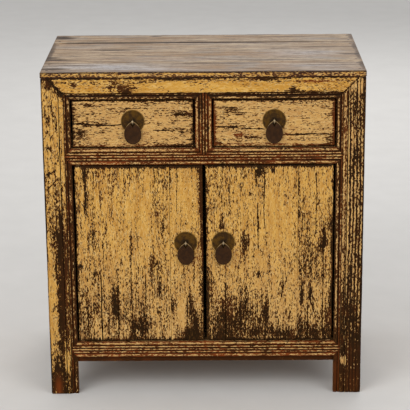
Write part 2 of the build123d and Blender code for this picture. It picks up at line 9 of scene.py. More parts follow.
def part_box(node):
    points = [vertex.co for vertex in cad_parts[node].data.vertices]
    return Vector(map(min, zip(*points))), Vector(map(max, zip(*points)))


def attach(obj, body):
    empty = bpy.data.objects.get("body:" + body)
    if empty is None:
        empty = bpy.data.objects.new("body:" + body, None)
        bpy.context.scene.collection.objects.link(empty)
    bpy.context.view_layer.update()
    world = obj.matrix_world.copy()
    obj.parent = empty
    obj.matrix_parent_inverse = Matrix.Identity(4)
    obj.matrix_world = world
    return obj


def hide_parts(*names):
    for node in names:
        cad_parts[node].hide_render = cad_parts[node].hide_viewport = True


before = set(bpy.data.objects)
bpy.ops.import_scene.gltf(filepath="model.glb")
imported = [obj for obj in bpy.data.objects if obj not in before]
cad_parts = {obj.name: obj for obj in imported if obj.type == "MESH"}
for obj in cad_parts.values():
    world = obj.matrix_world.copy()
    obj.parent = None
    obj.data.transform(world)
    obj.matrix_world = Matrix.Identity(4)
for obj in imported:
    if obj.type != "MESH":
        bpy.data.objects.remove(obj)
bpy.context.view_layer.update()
scene = bpy.context.scene

# ---- Camera
# It stands four metres in front of the cabinet and looks down on it from above the top, turned very
# slightly to the left and tilted by half a degree.
PICTURE_WIDTH = 410
FOCAL_LENGTH = 1652.3        # in pixels of a picture that wide
SENSOR_WIDTH = 36.0
EYE = Vector((0.0336, -4.19095, 1.7039))
TURN, DIP, TILT = (math.radians(angle) for angle in (-0.457, 16.796, -0.493))

ahead = Vector((math.sin(TURN) * math.cos(DIP), math.cos(TURN) * math.cos(DIP), -math.sin(DIP)))
level_right = Vector((math.cos(TURN), -math.sin(TURN), 0))
level_up = level_right.cross(ahead)
camera_right = level_right * math.cos(TILT) + level_up * math.sin(TILT)
camera_up = level_up * math.cos(TILT) - level_right * math.sin(TILT)
camera = bpy.data.objects.new("camera", bpy.data.cameras.new("camera"))
camera.data.sensor_width = SENSOR_WIDTH
camera.data.lens = SENSOR_WIDTH * FOCAL_LENGTH / PICTURE_WIDTH
aim = Matrix((camera_right, camera_up, -ahead)).transposed()
camera.matrix_world = Matrix.Translation(EYE) @ aim.to_4x4()
scene.collection.objects.link(camera)
scene.camera = camera

# ---- Studio light and floor
# Even daylight from all round, two large soft lamps in front and one behind, and a plain pale floor.
# What the camera and glossy surfaces see beyond the floor is a pale grey wall.
DAYLIGHT = 0.74
DAYLIGHT_COLOUR = (255, 255, 255)
LAMP_SIZE = 2.4
LAMPS = [((-2.4, -3.2, 2.9), 84), ((2.6, -3.0, 2.4), 46), ((0.6, 3.4, 2.8), 50)]    # place and power
LAMP_AIM = Vector((0, 0, 0.45))
FLOOR_REACH = 45.0
WALL_COLOUR = (207, 206, 206)
FLOOR_PALE = (208, 206, 203)
FLOOR_DEEP = (199, 197, 194)
FLOOR_SWELLS = 9.0           # changes of its tone to the metre


def linear(colour):
    """A colour in sRGB steps from 0 to 255, as the linear RGBA that the shaders take."""
    steps = [step / 255 for step in colour]
    return [step / 12.92 if step < 0.04045 else ((step + 0.055) / 1.055) ** 2.4 for step in steps] + [1.0]


def put(tree, kind, inputs=None, **settings):
    """Adds a node. An input is linked where it is given a socket, and set where it is given a value."""
    node = tree.nodes.new(kind)
    for name, value in settings.items():
        setattr(node, name, value)
    for key, value in (inputs or {}).items():
        if isinstance(value, bpy.types.NodeSocket):
            tree.links.new(value, node.inputs[key])
        else:
            node.inputs[key].default_value = value
    return node


def empty_tree(holder):
    """Gives a material or a world an empty node tree."""
    holder.use_nodes = True
    holder.node_tree.nodes.clear()
    return holder.node_tree


world = bpy.data.worlds.new("studio")
scene.world = world
scene.view_settings.view_transform = "Standard"
tree = empty_tree(world)
rays = put(tree, "ShaderNodeLightPath")
seen = put(tree, "ShaderNodeMath", {0: rays.outputs["Is Camera Ray"], 1: rays.outputs["Is Glossy Ray"]},
           operation="MAXIMUM")
daylight = put(tree, "ShaderNodeBackground", {"Color": linear(DAYLIGHT_COLOUR), "Strength": DAYLIGHT})
wall = put(tree, "ShaderNodeBackground", {"Color": linear(WALL_COLOUR), "Strength": 1.0})
sky = put(tree, "ShaderNodeMixShader", {0: seen.outputs[0], 1: daylight.outputs[0], 2: wall.outputs[0]})
put(tree, "ShaderNodeOutputWorld", {"Surface": sky.outputs[0]})

for number, (place, power) in enumerate(LAMPS):
    lamp = bpy.data.lights.new(f"soft_lamp_{number}", "AREA")
    lamp.size = LAMP_SIZE
    lamp.energy = power
    holder = bpy.data.objects.new(lamp.name, lamp)
    holder.location = place
    holder.rotation_euler = (LAMP_AIM - Vector(place)).to_track_quat("-Z", "Y").to_euler()
    scene.collection.objects.link(holder)

floor_mesh = bpy.data.meshes.new("floor")
floor_corners = [(x * FLOOR_REACH, y * FLOOR_REACH, 0) for x, y in ((-1, -1), (1, -1), (1, 1), (-1, 1))]
floor_mesh.from_pydata(floor_corners, [], [(0, 1, 2, 3)])
floor = bpy.data.objects.new("floor", floor_mesh)
scene.collection.objects.link(floor)
floor_material = bpy.data.materials.new("pale_floor")
tree = empty_tree(floor_material)
mottle = put(tree, "ShaderNodeTexNoise", {"Vector": put(tree, "ShaderNodeTexCoord").outputs["Object"],
                                          "Scale": FLOOR_SWELLS, "Detail": 4.0})
tint = put(tree, "ShaderNodeMix", {0: mottle.outputs[0], 6: linear(FLOOR_DEEP), 7: linear(FLOOR_PALE)},
           data_type="RGBA")
matt = put(tree, "ShaderNodeBsdfPrincipled", {"Base Color": tint.outputs[2], "Roughness": 0.9,
                                              "Specular IOR Level": 0.2})
put(tree, "ShaderNodeOutputMaterial", {"Surface": matt.outputs[0]})
floor_mesh.materials.append(floor_material)

# ---- Front posts
# Square posts of northern elm with a rounded outer edge and one bead along the inner edge, mitred at
# the top round the front rail. Ochre paint over brown-black lacquer, rubbed through; the right post
# is weathered into ridges.
POST_ARRIS = 6.0
POST_BEAD = 10.8
BEAD_SINK = 1.6
GROOVE_WIDTH = 1.5
GROOVE_DEPTH = 3.0
MITRE_DEPTH = 14.0
MITRE_GAP = 0.5
POST_SPACING = 0.9           # between the lines of points across the face
POST_STEP = 3.4              # between the places along the post
RIDGE_PITCH = 8.3            # of the ridges that the weather has left standing
SIDE_SHARE = 0.4             # of a patch of wear on the face that runs on over the side
INSIDE = 3.5                 # wood deeper than this behind a face was never painted
X, Y, Z = np.eye(3)
UPRIGHT = (X, Y, Z)          # directions of a piece's width, of its depth from the face, of its grain
UPRIGHT_MIRRORED = (-X, Y, Z)


def corners(name):
    """Lowest and highest corner of a frame piece, in millimetres."""
    low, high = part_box(name)
    return np.array(low) * 1000, np.array(high) * 1000


KNOT_PRIMES = (73856093, 19349663, 83492791)     # large primes that scatter neighbouring knots of the noise
KNOT_MIXER = 1274126177


def wander(seed, u, v=0.0):
    """Smooth noise from -1 to 1 over two coordinates, one swell to the unit, the same for each seed."""
    u, v = np.broadcast_arrays(np.asarray(u, float), np.asarray(v, float))
    whole_u, whole_v = np.floor(u).astype(np.int64), np.floor(v).astype(np.int64)
    part_u, part_v = u - whole_u, v - whole_v
    part_u = part_u * part_u * (3 - 2 * part_u)
    part_v = part_v * part_v * (3 - 2 * part_v)

    def knot(step_u, step_v):
        mixed = (whole_u + step_u) * KNOT_PRIMES[0] ^ (whole_v + step_v) * KNOT_PRIMES[1]
        mixed = mixed ^ seed * KNOT_PRIMES[2]
        mixed = (mixed ^ (mixed >> 13)) * KNOT_MIXER
        return ((mixed ^ (mixed >> 16)) & 0xFFFF) / 32767.5 - 1

    low = knot(0, 0) * (1 - part_u) + knot(1, 0) * part_u
    high = knot(0, 1) * (1 - part_u) + knot(1, 1) * part_u
    return low * (1 - part_v) + high * part_v


def hump(distance, half_width):
    """A soft hump, 1 in the middle and gone at about twice its half width."""
    return np.exp(-(distance / half_width) ** 2)


def run(start, end, spacing):
    """Points from start up to but not including end."""
    start, end = np.array(start, float), np.array(end, float)
    count = max(1, round(np.linalg.norm(end - start) / spacing))
    return start + (end - start) * (np.arange(count) / count)[:, None]


def arc(centre, radius, first, last, steps=4):
    """Points of a rounded corner, angles in degrees."""
    angle = np.radians(np.linspace(first, last, steps + 1))
    return np.array(centre) + radius * np.column_stack([np.cos(angle), np.sin(angle)])


def bead_points(start, width, steps):
    """Points across a bead, which rises from BEAD_SINK at its edges to depth 0 in the middle."""
    radius = (width ** 2 / 4 + BEAD_SINK ** 2) / (2 * BEAD_SINK)
    across = np.linspace(-width / 2, width / 2, steps + 1)
    return np.column_stack([start + width / 2 + across, radius - np.sqrt(radius ** 2 - across ** 2)])


def closed_section(face, width, thickness, far_depths, near_depths, spacing):
    """A bar's outline as (across, depth) points: its face, far side, back and near side."""
    far = np.column_stack([np.full(len(far_depths), width), far_depths])
    near = np.column_stack([np.zeros(len(near_depths)), near_depths[::-1]])
    return np.vstack([face, far, run((width, thickness), (0, thickness), spacing), [(0, thickness)], near])


def places(start, end, spacing, ease, notches=()):
    """Places along a piece: close together at its ends, and a pair at each side of a notch."""
    body = np.linspace(start, end, round((end - start) / spacing) + 1)
    body = body[(body > start + 2 * ease) & (body < end - 2 * ease)]
    marks = [start, start + 0.3 * ease, start + ease, end - ease, end - 0.3 * ease, end]
    for centre in notches:
        body = body[np.abs(body - centre) > NOTCH_ZONE]
        marks += [centre - NOTCH_EDGE, centre - NOTCH_FLOOR, centre + NOTCH_FLOOR, centre + NOTCH_EDGE]
    return np.sort(np.concatenate([marks, body]))


def end_at(along, starts, ends):
    """Places for every line of a section, moved near the ends so that each line ends where it should."""
    zone = 0.1 * (along[-1] - along[0])
    low, high = along[0] + zone, along[-1] - zone
    rows = along[:, None]
    stretched = np.where(rows < low, low - (low - rows) * (low - starts) / zone, rows)
    return np.where(rows > high, high + (rows - high) * (ends - high) / zone, stretched)


CRACK_TAPER = 14.0           # a crack opens to its full width over this length
SHADED_GROOVE_DEPTH = 0.8            # a groove this much lower than the wood round it gets the full painted shade


class Timber:
    """A wooden piece as lines of points: an outline repeated along its grain, then worn by hand."""

    def __init__(self, section, along, directions, origin, seed, loss=0.0, ruddy=0.0):
        self.section = section
        self.directions = directions
        self.origin = np.array(origin, float)
        self.seed = seed
        step = np.roll(section, -1, 0) - section
        self.step = np.linalg.norm(step, axis=1)
        self.girth = np.concatenate([[0], np.cumsum(self.step)[:-1]])
        trend = step / self.step[:, None] + np.roll(step / self.step[:, None], 1, 0)
        trend /= np.linalg.norm(trend, axis=1)[:, None] + 1e-9
        self.outward = np.column_stack([trend[:, 1], -trend[:, 0]])
        if along.ndim == 1:
            along = np.repeat(along[:, None], len(section), axis=1)
        self.along = along
        self.push = np.zeros(along.shape)
        self.sideways = np.zeros(along.shape)
        self.sunk = np.zeros(along.shape)
        self.worn = np.full(along.shape, loss)
        self.ruddy = np.full(along.shape, ruddy)
        self.bare = np.zeros(along.shape)
        self.dirt_and_shade = np.zeros(along.shape)
        self.bleach_and_glare = np.zeros(along.shape)
        self.across_axis = int(np.argmax(np.abs(directions[0])))
        self.grain_axis = int(np.argmax(np.abs(directions[2])))

    def local(self, place):
        """Place across the piece of a frame coordinate."""
        return (place - self.origin[self.across_axis]) * self.directions[0][self.across_axis]

    def spots(self):
        """Frame coordinates of every point, across the grain and along it."""
        across = self.origin[self.across_axis] + self.section[:, 0] * self.directions[0][self.across_axis]
        return across[None, :], self.origin[self.grain_axis] + self.along

    def from_end(self):
        """How far every point is from the nearer end."""
        return np.minimum(self.along - self.along[0], self.along[-1] - self.along)

    def ease_ends(self, radius):
        """Rounds both ends over."""
        near = np.clip(1 - self.from_end() / radius, 0, 1)
        self.push -= radius * (1 - np.sqrt(1 - near ** 2))

    def weather(self, grain, swell, pitch=5.0):
        """Raised grain along the piece and slow waves in its surface, all inward of the outline."""
        drift = 0.5 * wander(self.seed, self.girth / 40, self.along / 70)
        lines = wander(self.seed + 1, self.girth / pitch + drift, self.along / 150)
        waves = wander(self.seed + 2, self.girth / 60, self.along / 110)
        self.push -= grain * (1 + lines) / 2 + swell * (1 + waves) / 2

    def nibble(self, amount, length):
        """Wears the sharp edges away unevenly."""
        sharp = np.clip(self.proud(), 0, 1)
        bites = np.clip(wander(self.seed + 3, self.along / length, self.girth / 30) + 0.25, 0, 1)
        self.push -= amount * sharp * bites

    def crack(self, place, start, end, half_width, depth):
        """Opens a crack along the grain at a place across the piece."""
        line = self.local(place)
        frame_along = self.origin[self.grain_axis] + self.along
        taper = np.clip((frame_along - start) / CRACK_TAPER, 0, 1)
        taper = taper * np.clip((end - frame_along) / CRACK_TAPER, 0, 1)
        taper = taper * (0.75 + 0.25 * wander(self.seed + 5, frame_along / 17, place))
        reach = np.abs(self.section[:, 0] - line) + 1e3 * (self.section[:, 1] > INSIDE)
        self.sunk += depth * taper * np.clip(1 - reach / half_width, 0, 1) ** 0.6
        self.sideways += 1.3 * wander(self.seed + 6, frame_along / 38, place) * hump(reach, 6)
        broken = 0.95 + 0.6 * wander(self.seed + 15, frame_along / 9, place)
        self.worn += 1.5 * broken * taper * hump(reach, half_width + 0.7)

    def rub(self, patches, kind="worn"):
        """Adds soft oval patches: place across and along, half sizes across and along, amount."""
        across, along = self.spots()
        layer = getattr(self, kind)
        for patch_across, patch_along, half_across, half_along, amount in patches:
            reach = ((across - patch_across) / half_across) ** 2 + ((along - patch_along) / half_along) ** 2
            layer += amount * np.exp(-reach)

    def scratch(self, start, end, half_width, amount):
        """Scores a straight scratch between two (across, along) places."""
        across, along = self.spots()
        first, way = np.array(start, float), np.array(end, float) - np.array(start, float)
        part = ((across - first[0]) * way[0] + (along - first[1]) * way[1]) / (way @ way)
        part = np.clip(part, 0, 1)
        reach = np.hypot(across - first[0] - part * way[0], along - first[1] - part * way[1])
        self.worn += amount * hump(reach, half_width) * (self.section[:, 1] < INSIDE)

    def rim(self, amount, reach, near=True, far=True, dirt=0.0):
        """Wears the face more towards its ends and its near and far edges, and dirties it there."""
        width = self.section[:, 0].max()
        edge = self.from_end()
        if near:
            edge = np.minimum(edge, self.section[:, 0])
        if far:
            edge = np.minimum(edge, width - self.section[:, 0])
        ragged = 1 + 0.5 * wander(self.seed + 7, self.girth / 17, self.along / 23)
        near_edge = np.exp(-edge / (reach * ragged))
        self.worn += amount * near_edge
        self.dirt_and_shade += dirt * near_edge

    def bare_behind(self, depth=INSIDE):
        """The wood behind the face is left as it was sawn."""
        self.bare[:] = self.section[:, 1] > depth

    def spread(self):
        """Where every point lies across and in depth."""
        across = self.section[:, 0] + self.push * self.outward[:, 0] + self.sideways
        return across, self.section[:, 1] + self.push * self.outward[:, 1] + self.sunk

    def proud(self, reach=2.5):
        """Millimetres by which each point stands out from its surroundings; negative in grooves."""
        across, depth = self.spread()
        girth = self.step.sum()
        gap = np.abs(self.girth[:, None] - self.girth[None, :])
        gap = np.minimum(gap, girth - gap)
        share = np.exp(-(gap / reach) ** 2 / 2) * (self.step + np.roll(self.step, 1))
        share /= share.sum(1, keepdims=True)
        offset_across, offset_depth = across - across @ share.T, depth - depth @ share.T
        return offset_across * self.outward[:, 0] + offset_depth * self.outward[:, 1]

    def shell(self):
        """Points in millimetres and the marks that the finish reads at each of them."""
        across, depth = self.spread()
        proud = self.proud()
        points = self.origin + sum(value[..., None] * direction for value, direction
                                   in zip((across, depth, self.along), self.directions))
        # the dark mark is the dirt laid on above plus painted shade in grooves and hollows, the lower the
        # darker
        marks = {"worn": self.worn, "proud": proud, "ruddy": self.ruddy, "bare": self.bare,
                 "bleach_and_glare": self.bleach_and_glare, "board": self.seed * 0.618 % 1,
                 "dirt_and_shade": np.clip(self.dirt_and_shade - proud / SHADED_GROOVE_DEPTH, 0, 1)}
        return points, marks


MARKS = ("worn", "proud", "ruddy", "dirt_and_shade", "bleach_and_glare", "bare", "board")
SHARP_ANGLE = math.radians(42)


def make_piece(name, shells, material, ring_shaped):
    """One mesh object from shells of points, each a row of rings that is closed at its two ends."""
    vertices, faces, layers = [], [], {mark: [] for mark in MARKS}
    start = 0
    for points, marks in shells:
        rows, columns = points.shape[:2]
        index = np.arange(rows * columns).reshape(rows, columns) + start
        lower = index if ring_shaped else index[:-1]
        upper = np.roll(index, -1, 0) if ring_shaped else index[1:]
        quads = np.stack([lower, np.roll(lower, -1, 1), np.roll(upper, -1, 1), upper], -1).reshape(-1, 4)
        flat = points.reshape(-1, 3)
        a, b, c, d = (flat[quads[:, side] - start] - flat.mean(0) for side in range(4))
        inside_out = np.sum(a * (np.cross(b, c) + np.cross(c, d))) < 0
        polygons = quads.tolist()
        if not ring_shaped:
            polygons += [index[0][::-1].tolist(), index[-1].tolist()]
        faces += [polygon[::-1] for polygon in polygons] if inside_out else polygons
        vertices.append(flat / 1000)
        for mark in MARKS:
            layers[mark].append(np.broadcast_to(marks.get(mark, 0.0), (rows, columns)).ravel())
        start += len(flat)
    mesh = bpy.data.meshes.new(name)
    mesh.from_pydata(np.vstack(vertices).tolist(), [], faces)
    for mark, values in layers.items():
        attribute = mesh.attributes.new(mark, "FLOAT", "POINT")
        attribute.data.foreach_set("value", np.concatenate(values).astype(np.float32))
    mesh.polygons.foreach_set("use_smooth", np.ones(len(mesh.polygons), bool))
    mesh.set_sharp_from_angle(angle=SHARP_ANGLE)
    mesh.materials.append(material)
    piece = bpy.data.objects.new(name, mesh)
    scene.collection.objects.link(piece)
    return piece


def fit(node, shells, material, body, ring_shaped=False):
    """Makes a piece and hangs it on its body, in the place of the frame piece that it dresses."""
    piece = make_piece(f"{node}_finished", shells, material, ring_shaped)
    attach(piece, body)
    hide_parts(node)


def calc(tree, operation, *values):
    """The result of a Math node."""
    return put(tree, "ShaderNodeMath", dict(enumerate(values)), operation=operation).outputs[0]


def remap(tree, value, low, high, to_low=0.0, to_high=1.0):
    """Eases a value from to_low at low to to_high at high."""
    inputs = {"Value": value, "From Min": low, "From Max": high, "To Min": to_low, "To Max": to_high}
    return put(tree, "ShaderNodeMapRange", inputs, interpolation_type="SMOOTHSTEP").outputs[0]


def blend(tree, factor, first, second):
    """Mixes two colours."""
    return put(tree, "ShaderNodeMix", {0: factor, 6: first, 7: second}, data_type="RGBA").outputs[2]


def flecks(tree, grain, across, along, detail=2.0, roughness=0.5):
    """Noise with marks of that size in millimetres across and along the grain, around a mean of 0.5."""
    stretched = put(tree, "ShaderNodeVectorMath", {0: grain, 1: (1 / across, 1 / across, 1 / along)},
                    operation="MULTIPLY")
    noise = put(tree, "ShaderNodeTexNoise", {"Vector": stretched.outputs[0], "Scale": 1.0,
                                             "Detail": detail, "Roughness": roughness})
    return noise.outputs[0]


def new_group(name, inputs, outputs):
    """A node group with named sockets; returns its tree, what it is given and where its results go."""
    group = bpy.data.node_groups.new(name, "ShaderNodeTree")
    kinds = {"vector": "NodeSocketVector", "value": "NodeSocketFloat", "colour": "NodeSocketColor"}
    for direction, sockets in (("INPUT", inputs), ("OUTPUT", outputs)):
        for label, kind in sockets.items():
            group.interface.new_socket(name=label, in_out=direction, socket_type=kinds[kind])
    return group, put(group, "NodeGroupInput").outputs, put(group, "NodeGroupOutput").inputs


def flaked_paint_group():
    """Where the paint still holds: lost in flecks along the grain, in grooves and on sharp edges."""
    group, given, result = new_group("flaked_paint", {"Grain": "vector", "Worn": "value", "Proud": "value"},
                                     {"Paint": "value", "Chip Edge": "value", "Depth": "value"})
    specks = flecks(group, given["Grain"], 2.3, 6.5, detail=3, roughness=0.7)
    streaks = flecks(group, given["Grain"], 4, 110)
    flakes = flecks(group, given["Grain"], 9, 42, detail=3, roughness=0.6)
    level = calc(group, "MULTIPLY_ADD", specks, 0.6, calc(group, "MULTIPLY", streaks, 0.19))
    level = calc(group, "MULTIPLY_ADD", flakes, 0.21, level)
    level = calc(group, "MULTIPLY_ADD", given["Worn"], 0.1, level)
    level = calc(group, "ADD", level, remap(group, given["Proud"], -0.7, -0.06, 0.24, 0.0))
    level = calc(group, "SUBTRACT", level, remap(group, given["Proud"], 0.06, 0.3, 0.0, 0.04))
    level = calc(group, "ADD", level, remap(group, given["Proud"], 0.9, 1.5, 0.0, 0.14))
    holds = remap(group, level, 0.55, 0.568, 1.0, 0.0)
    group.links.new(holds, result["Paint"])
    group.links.new(remap(group, level, 0.56, 0.62), result["Depth"])
    group.links.new(calc(group, "MULTIPLY", holds, remap(group, level, 0.515, 0.55)), result["Chip Edge"])
    return group


PAINT_BRIGHT = (204, 156, 72)
PAINT_DEEP = (176, 124, 47)
PAINT_PALE = (214, 177, 112)
PAINT_BROWNED = (166, 112, 36)
PAINT_BLEACHED = (192, 154, 106)
CHIP_CREAM_AND_HIGHLIGHT = (228, 200, 142)
# near-black of dirt, also laid on as painted shade in grooves and hollows
DIRT_AND_SHADE_TONE = (34, 15, 1)
LACQUER_BROWN = (98, 50, 8)
LACQUER_DARK = (36, 20, 1)
LACQUER_RED = (116, 54, 16)
WORN_BROWN = (112, 74, 30)


def aged_lacquer_group():
    """Ochre paint over brown-black lacquer: its colour, roughness and the height of its chips."""
    group, given, result = new_group(
        "aged_lacquer",
        {"Grain": "vector", "Worn": "value", "Proud": "value", "Ruddy": "value", "Dirt_and_shade": "value",
         "Bleach_and_glare": "value"},
        {"Color": "colour", "Roughness": "value", "Height": "value"})
    flaked = put(group, "ShaderNodeGroup", node_tree=flaked_paint_group())
    for label in ("Grain", "Worn", "Proud"):
        group.links.new(given[label], flaked.inputs[label])
    chip_edge, holds = flaked.outputs["Chip Edge"], flaked.outputs["Paint"]
    tone = flecks(group, given["Grain"], 12, 75)
    fibres = flecks(group, given["Grain"], 2.0, 10)
    clouds = flecks(group, given["Grain"], 45, 70)
    paint = blend(group, remap(group, tone, 0.32, 0.62, 0.15, 1.0), linear(PAINT_DEEP), linear(PAINT_BRIGHT))
    paint = blend(group, remap(group, clouds, 0.62, 0.4, 0.0, 0.35), paint, linear(PAINT_DEEP))
    paint = blend(group, calc(group, "MULTIPLY", given["Ruddy"], 0.6), paint, linear(PAINT_BROWNED))
    paint = blend(group, given["Bleach_and_glare"], paint, linear(PAINT_BLEACHED))
    paint = blend(group, remap(group, fibres, 0.5, 0.7, 0.0, 0.6), paint, linear(PAINT_PALE))
    paint = blend(group, remap(group, fibres, 0.5, 0.3, 0.0, 0.4), paint, linear(PAINT_BROWNED))
    # cream at the chip edges: pale ground laid bare, and a painted highlight where the edges of the paint
    # catch the light
    cream = calc(group, "MULTIPLY", chip_edge, remap(group, fibres, 0.45, 0.65, 0.1, 0.75))
    paint = blend(group, cream, paint, linear(CHIP_CREAM_AND_HIGHLIGHT))
    redness = calc(group, "ADD", given["Ruddy"], remap(group, clouds, 0.56, 0.78, 0.0, 0.2))
    under = blend(group, flaked.outputs["Depth"], linear(LACQUER_BROWN), linear(LACQUER_DARK))
    under = blend(group, redness, under, linear(LACQUER_RED))
    through = calc(group, "MULTIPLY", remap(group, fibres, 0.56, 0.7), remap(group, tone, 0.45, 0.62))
    under = blend(group, calc(group, "MULTIPLY", through, 0.7), under, linear(WORN_BROWN))
    colour = blend(group, holds, under, paint)
    # darkened by dirt and by painted shade in grooves and hollows
    colour = blend(group, calc(group, "MULTIPLY", given["Dirt_and_shade"], 0.92), colour, linear(DIRT_AND_SHADE_TONE))
    group.links.new(colour, result["Color"])
    rough = calc(group, "MULTIPLY_ADD", holds, 0.12, 0.42)
    group.links.new(calc(group, "MULTIPLY_ADD", fibres, 0.15, rough), result["Roughness"])
    height = calc(group, "MULTIPLY_ADD", fibres, 0.45, calc(group, "MULTIPLY", holds, 0.5))
    group.links.new(height, result["Height"])
    return group


def sawn_wood_group():
    """Unpainted wood: its colour and the height of its fibres, from three tones."""
    group, given, result = new_group(
        "sawn_wood", {"Grain": "vector", "Proud": "value", "Light": "colour", "Middle": "colour",
                      "Dark": "colour"}, {"Color": "colour", "Height": "value"})
    rings = flecks(group, given["Grain"], 5.5, 190)
    fibres = flecks(group, given["Grain"], 0.9, 24, detail=3)
    stains = flecks(group, given["Grain"], 60, 150, detail=3)
    colour = blend(group, remap(group, rings, 0.38, 0.62), given["Middle"], given["Light"])
    colour = blend(group, remap(group, fibres, 0.52, 0.72, 0.0, 0.75), colour, given["Dark"])
    colour = blend(group, remap(group, stains, 0.5, 0.72, 0.0, 0.6), colour, given["Dark"])
    # painted shade: darker down in grooves, cracks and joints
    colour = blend(group, remap(group, given["Proud"], -1.2, -0.2, 0.9, 0.0), colour, given["Dark"])
    group.links.new(colour, result["Color"])
    group.links.new(calc(group, "MULTIPLY_ADD", rings, 0.4, calc(group, "MULTIPLY", fibres, 0.6)),
                    result["Height"])
    return group


aged_lacquer = aged_lacquer_group()
sawn_wood = sawn_wood_group()
SAWN_TONES = ((158, 124, 86), (134, 100, 66), (84, 60, 38))
GRAIN_UP = (0.0, 0.0, 0.0)                       # turns the grain onto the third axis of the patterns
GRAIN_LEVEL = (0.0, math.radians(-90), 0.0)
GRAIN_DEEP = (math.radians(90), 0.0, 0.0)
BOARD_OFFSET = (937, 611, 353)                   # between the places in a pattern that boards are cut from
MILLIMETRES = (1000, 1000, 1000)


def mark(tree, name):
    """The value that every point of the mesh has for one of the marks."""
    return put(tree, "ShaderNodeAttribute", attribute_name=name).outputs["Fac"]


def grain_place(tree, turn):
    """Place in millimetres with the grain along the third axis, and each board cut from elsewhere."""
    spot = put(tree, "ShaderNodeTexCoord").outputs["Object"]
    turned = put(tree, "ShaderNodeMapping", {"Vector": spot, "Rotation": turn, "Scale": MILLIMETRES})
    shifted = put(tree, "ShaderNodeVectorMath", {0: mark(tree, "board"), 1: BOARD_OFFSET,
                                                 2: turned.outputs[0]}, operation="MULTIPLY_ADD")
    return shifted.outputs[0]


def sawn_node(tree, grain, tones):
    """Places the group for unpainted wood in a material, with its light, middle and dark tone."""
    node = put(tree, "ShaderNodeGroup", node_tree=sawn_wood)
    tree.links.new(grain, node.inputs["Grain"])
    tree.links.new(mark(tree, "proud"), node.inputs["Proud"])
    for label, tone in zip(("Light", "Middle", "Dark"), tones):
        node.inputs[label].default_value = linear(tone)
    return node


def lacquer_node(tree, grain):
    """Places the group for aged lacquer in a material, fed by the marks of the mesh."""
    node = put(tree, "ShaderNodeGroup", node_tree=aged_lacquer)
    tree.links.new(grain, node.inputs["Grain"])
    for name in ("worn", "proud", "ruddy", "dirt_and_shade", "bleach_and_glare"):
        tree.links.new(mark(tree, name), node.inputs[name.capitalize()])
    return node


def end_material(tree, colour, roughness, height, relief, gloss, metallic=0.0):
    """The shader of a material; the height stands out by the relief, which is in metres."""
    bump = put(tree, "ShaderNodeBump", {"Strength": 1.0, "Distance": relief, "Height": height})
    shader = put(tree, "ShaderNodeBsdfPrincipled", {
        "Base Color": colour, "Roughness": roughness, "Metallic": metallic, "Normal": bump.outputs[0],
        "Specular IOR Level": gloss})
    put(tree, "ShaderNodeOutputMaterial", {"Surface": shader.outputs[0]})


def lacquered_wood(name, turn):
    """Lacquered on its show faces and bare inside; the bare mark says where."""
    material = bpy.data.materials.new(name)
    tree = empty_tree(material)
    grain = grain_place(tree, turn)
    lacquer = lacquer_node(tree, grain)
    wood = sawn_node(tree, grain, SAWN_TONES)
    bare = mark(tree, "bare")
    colour = blend(tree, bare, lacquer.outputs["Color"], wood.outputs["Color"])
    roughness = calc(tree, "MAXIMUM", lacquer.outputs["Roughness"], calc(tree, "MULTIPLY", bare, 0.8))
    end_material(tree, colour, roughness, lacquer.outputs["Height"], 0.00035, 0.08)
    return material


lacquer_up = lacquered_wood("ochre_lacquer_upright", GRAIN_UP)
post_low, post_high = corners("front_post_left")
post_width, post_thickness, post_top = post_high - post_low
top_rail_base = corners("top_front_rail")[0][2]
mitre_start = post_width - (post_top - top_rail_base)

bead_start = post_width - POST_BEAD
groove_start = bead_start - GROOVE_WIDTH
post_face = np.vstack([
    arc((POST_ARRIS, POST_ARRIS), POST_ARRIS, 180, 270, 6)[:-1],
    run((POST_ARRIS, 0), (groove_start, 0), POST_SPACING),
    [(groove_start, 0), (groove_start, GROOVE_DEPTH), (bead_start, GROOVE_DEPTH)],
    bead_points(bead_start, POST_BEAD, 10),
])
mitre_depths = [MITRE_DEPTH - 0.2, MITRE_DEPTH + 0.2]          # the mitre ends between these two
post_section = closed_section(
    post_face, post_width, post_thickness, [4, 7, 10.5, *mitre_depths, 18, 24, 30, 37, 44],
    [8.5, 11.2, *mitre_depths, 17, 20, 23, 26, 29, 32, 35, 38, 41, 44, 47], 6)
post_tops = np.where(post_section[:, 1] < MITRE_DEPTH,
                     post_top - MITRE_GAP - np.clip(post_section[:, 0] - mitre_start, 0, None), post_top)

# a patch is its place across and up the post, its half sizes and how much it adds
LEFT_POST = {
    "loss": 0.42, "comb": 0.12, "pits": 0.5, "blotches": 0.45, "bead": 0.1,
    "mitre": 2.6, "mitre_reach": 4.5, "bleach_and_glare": 0.12,
    "patches": [(-386, 822, 9, 13, 1.1), (-352, 795, 8, 12, 0.9), (-369, 745, 5, 12, 0.9),
                (-366, 712, 6, 22, 0.8), (-382, 655, 7, 8, 0.8), (-378, 640, 26, 120, -0.35),
                (-400, 500, 5, 110, 1.3), (-360, 440, 4, 60, 1.0), (-360, 330, 12, 110, 0.85),
                (-360, 210, 15, 110, 1.3), (-390, 290, 12, 190, -0.8), (-352, 640, 5, 300, 0.25),
                (-376, 450, 26, 130, 0.6),
                (-349, 400, 6, 150, 0.7), (-372, 25, 60, 75, 1.4), (-354, 85, 8, 30, -1.2)],
    "red": [(-386, 822, 9, 13, 0.15), (-355, 260, 14, 150, 0.1), (-380, 18, 9, 30, 0.8),
            (-350, 400, 6, 260, 0.1)],
    "scratches": [((-391, 590), (-370, 600)), ((-389, 554), (-364, 580))],
}
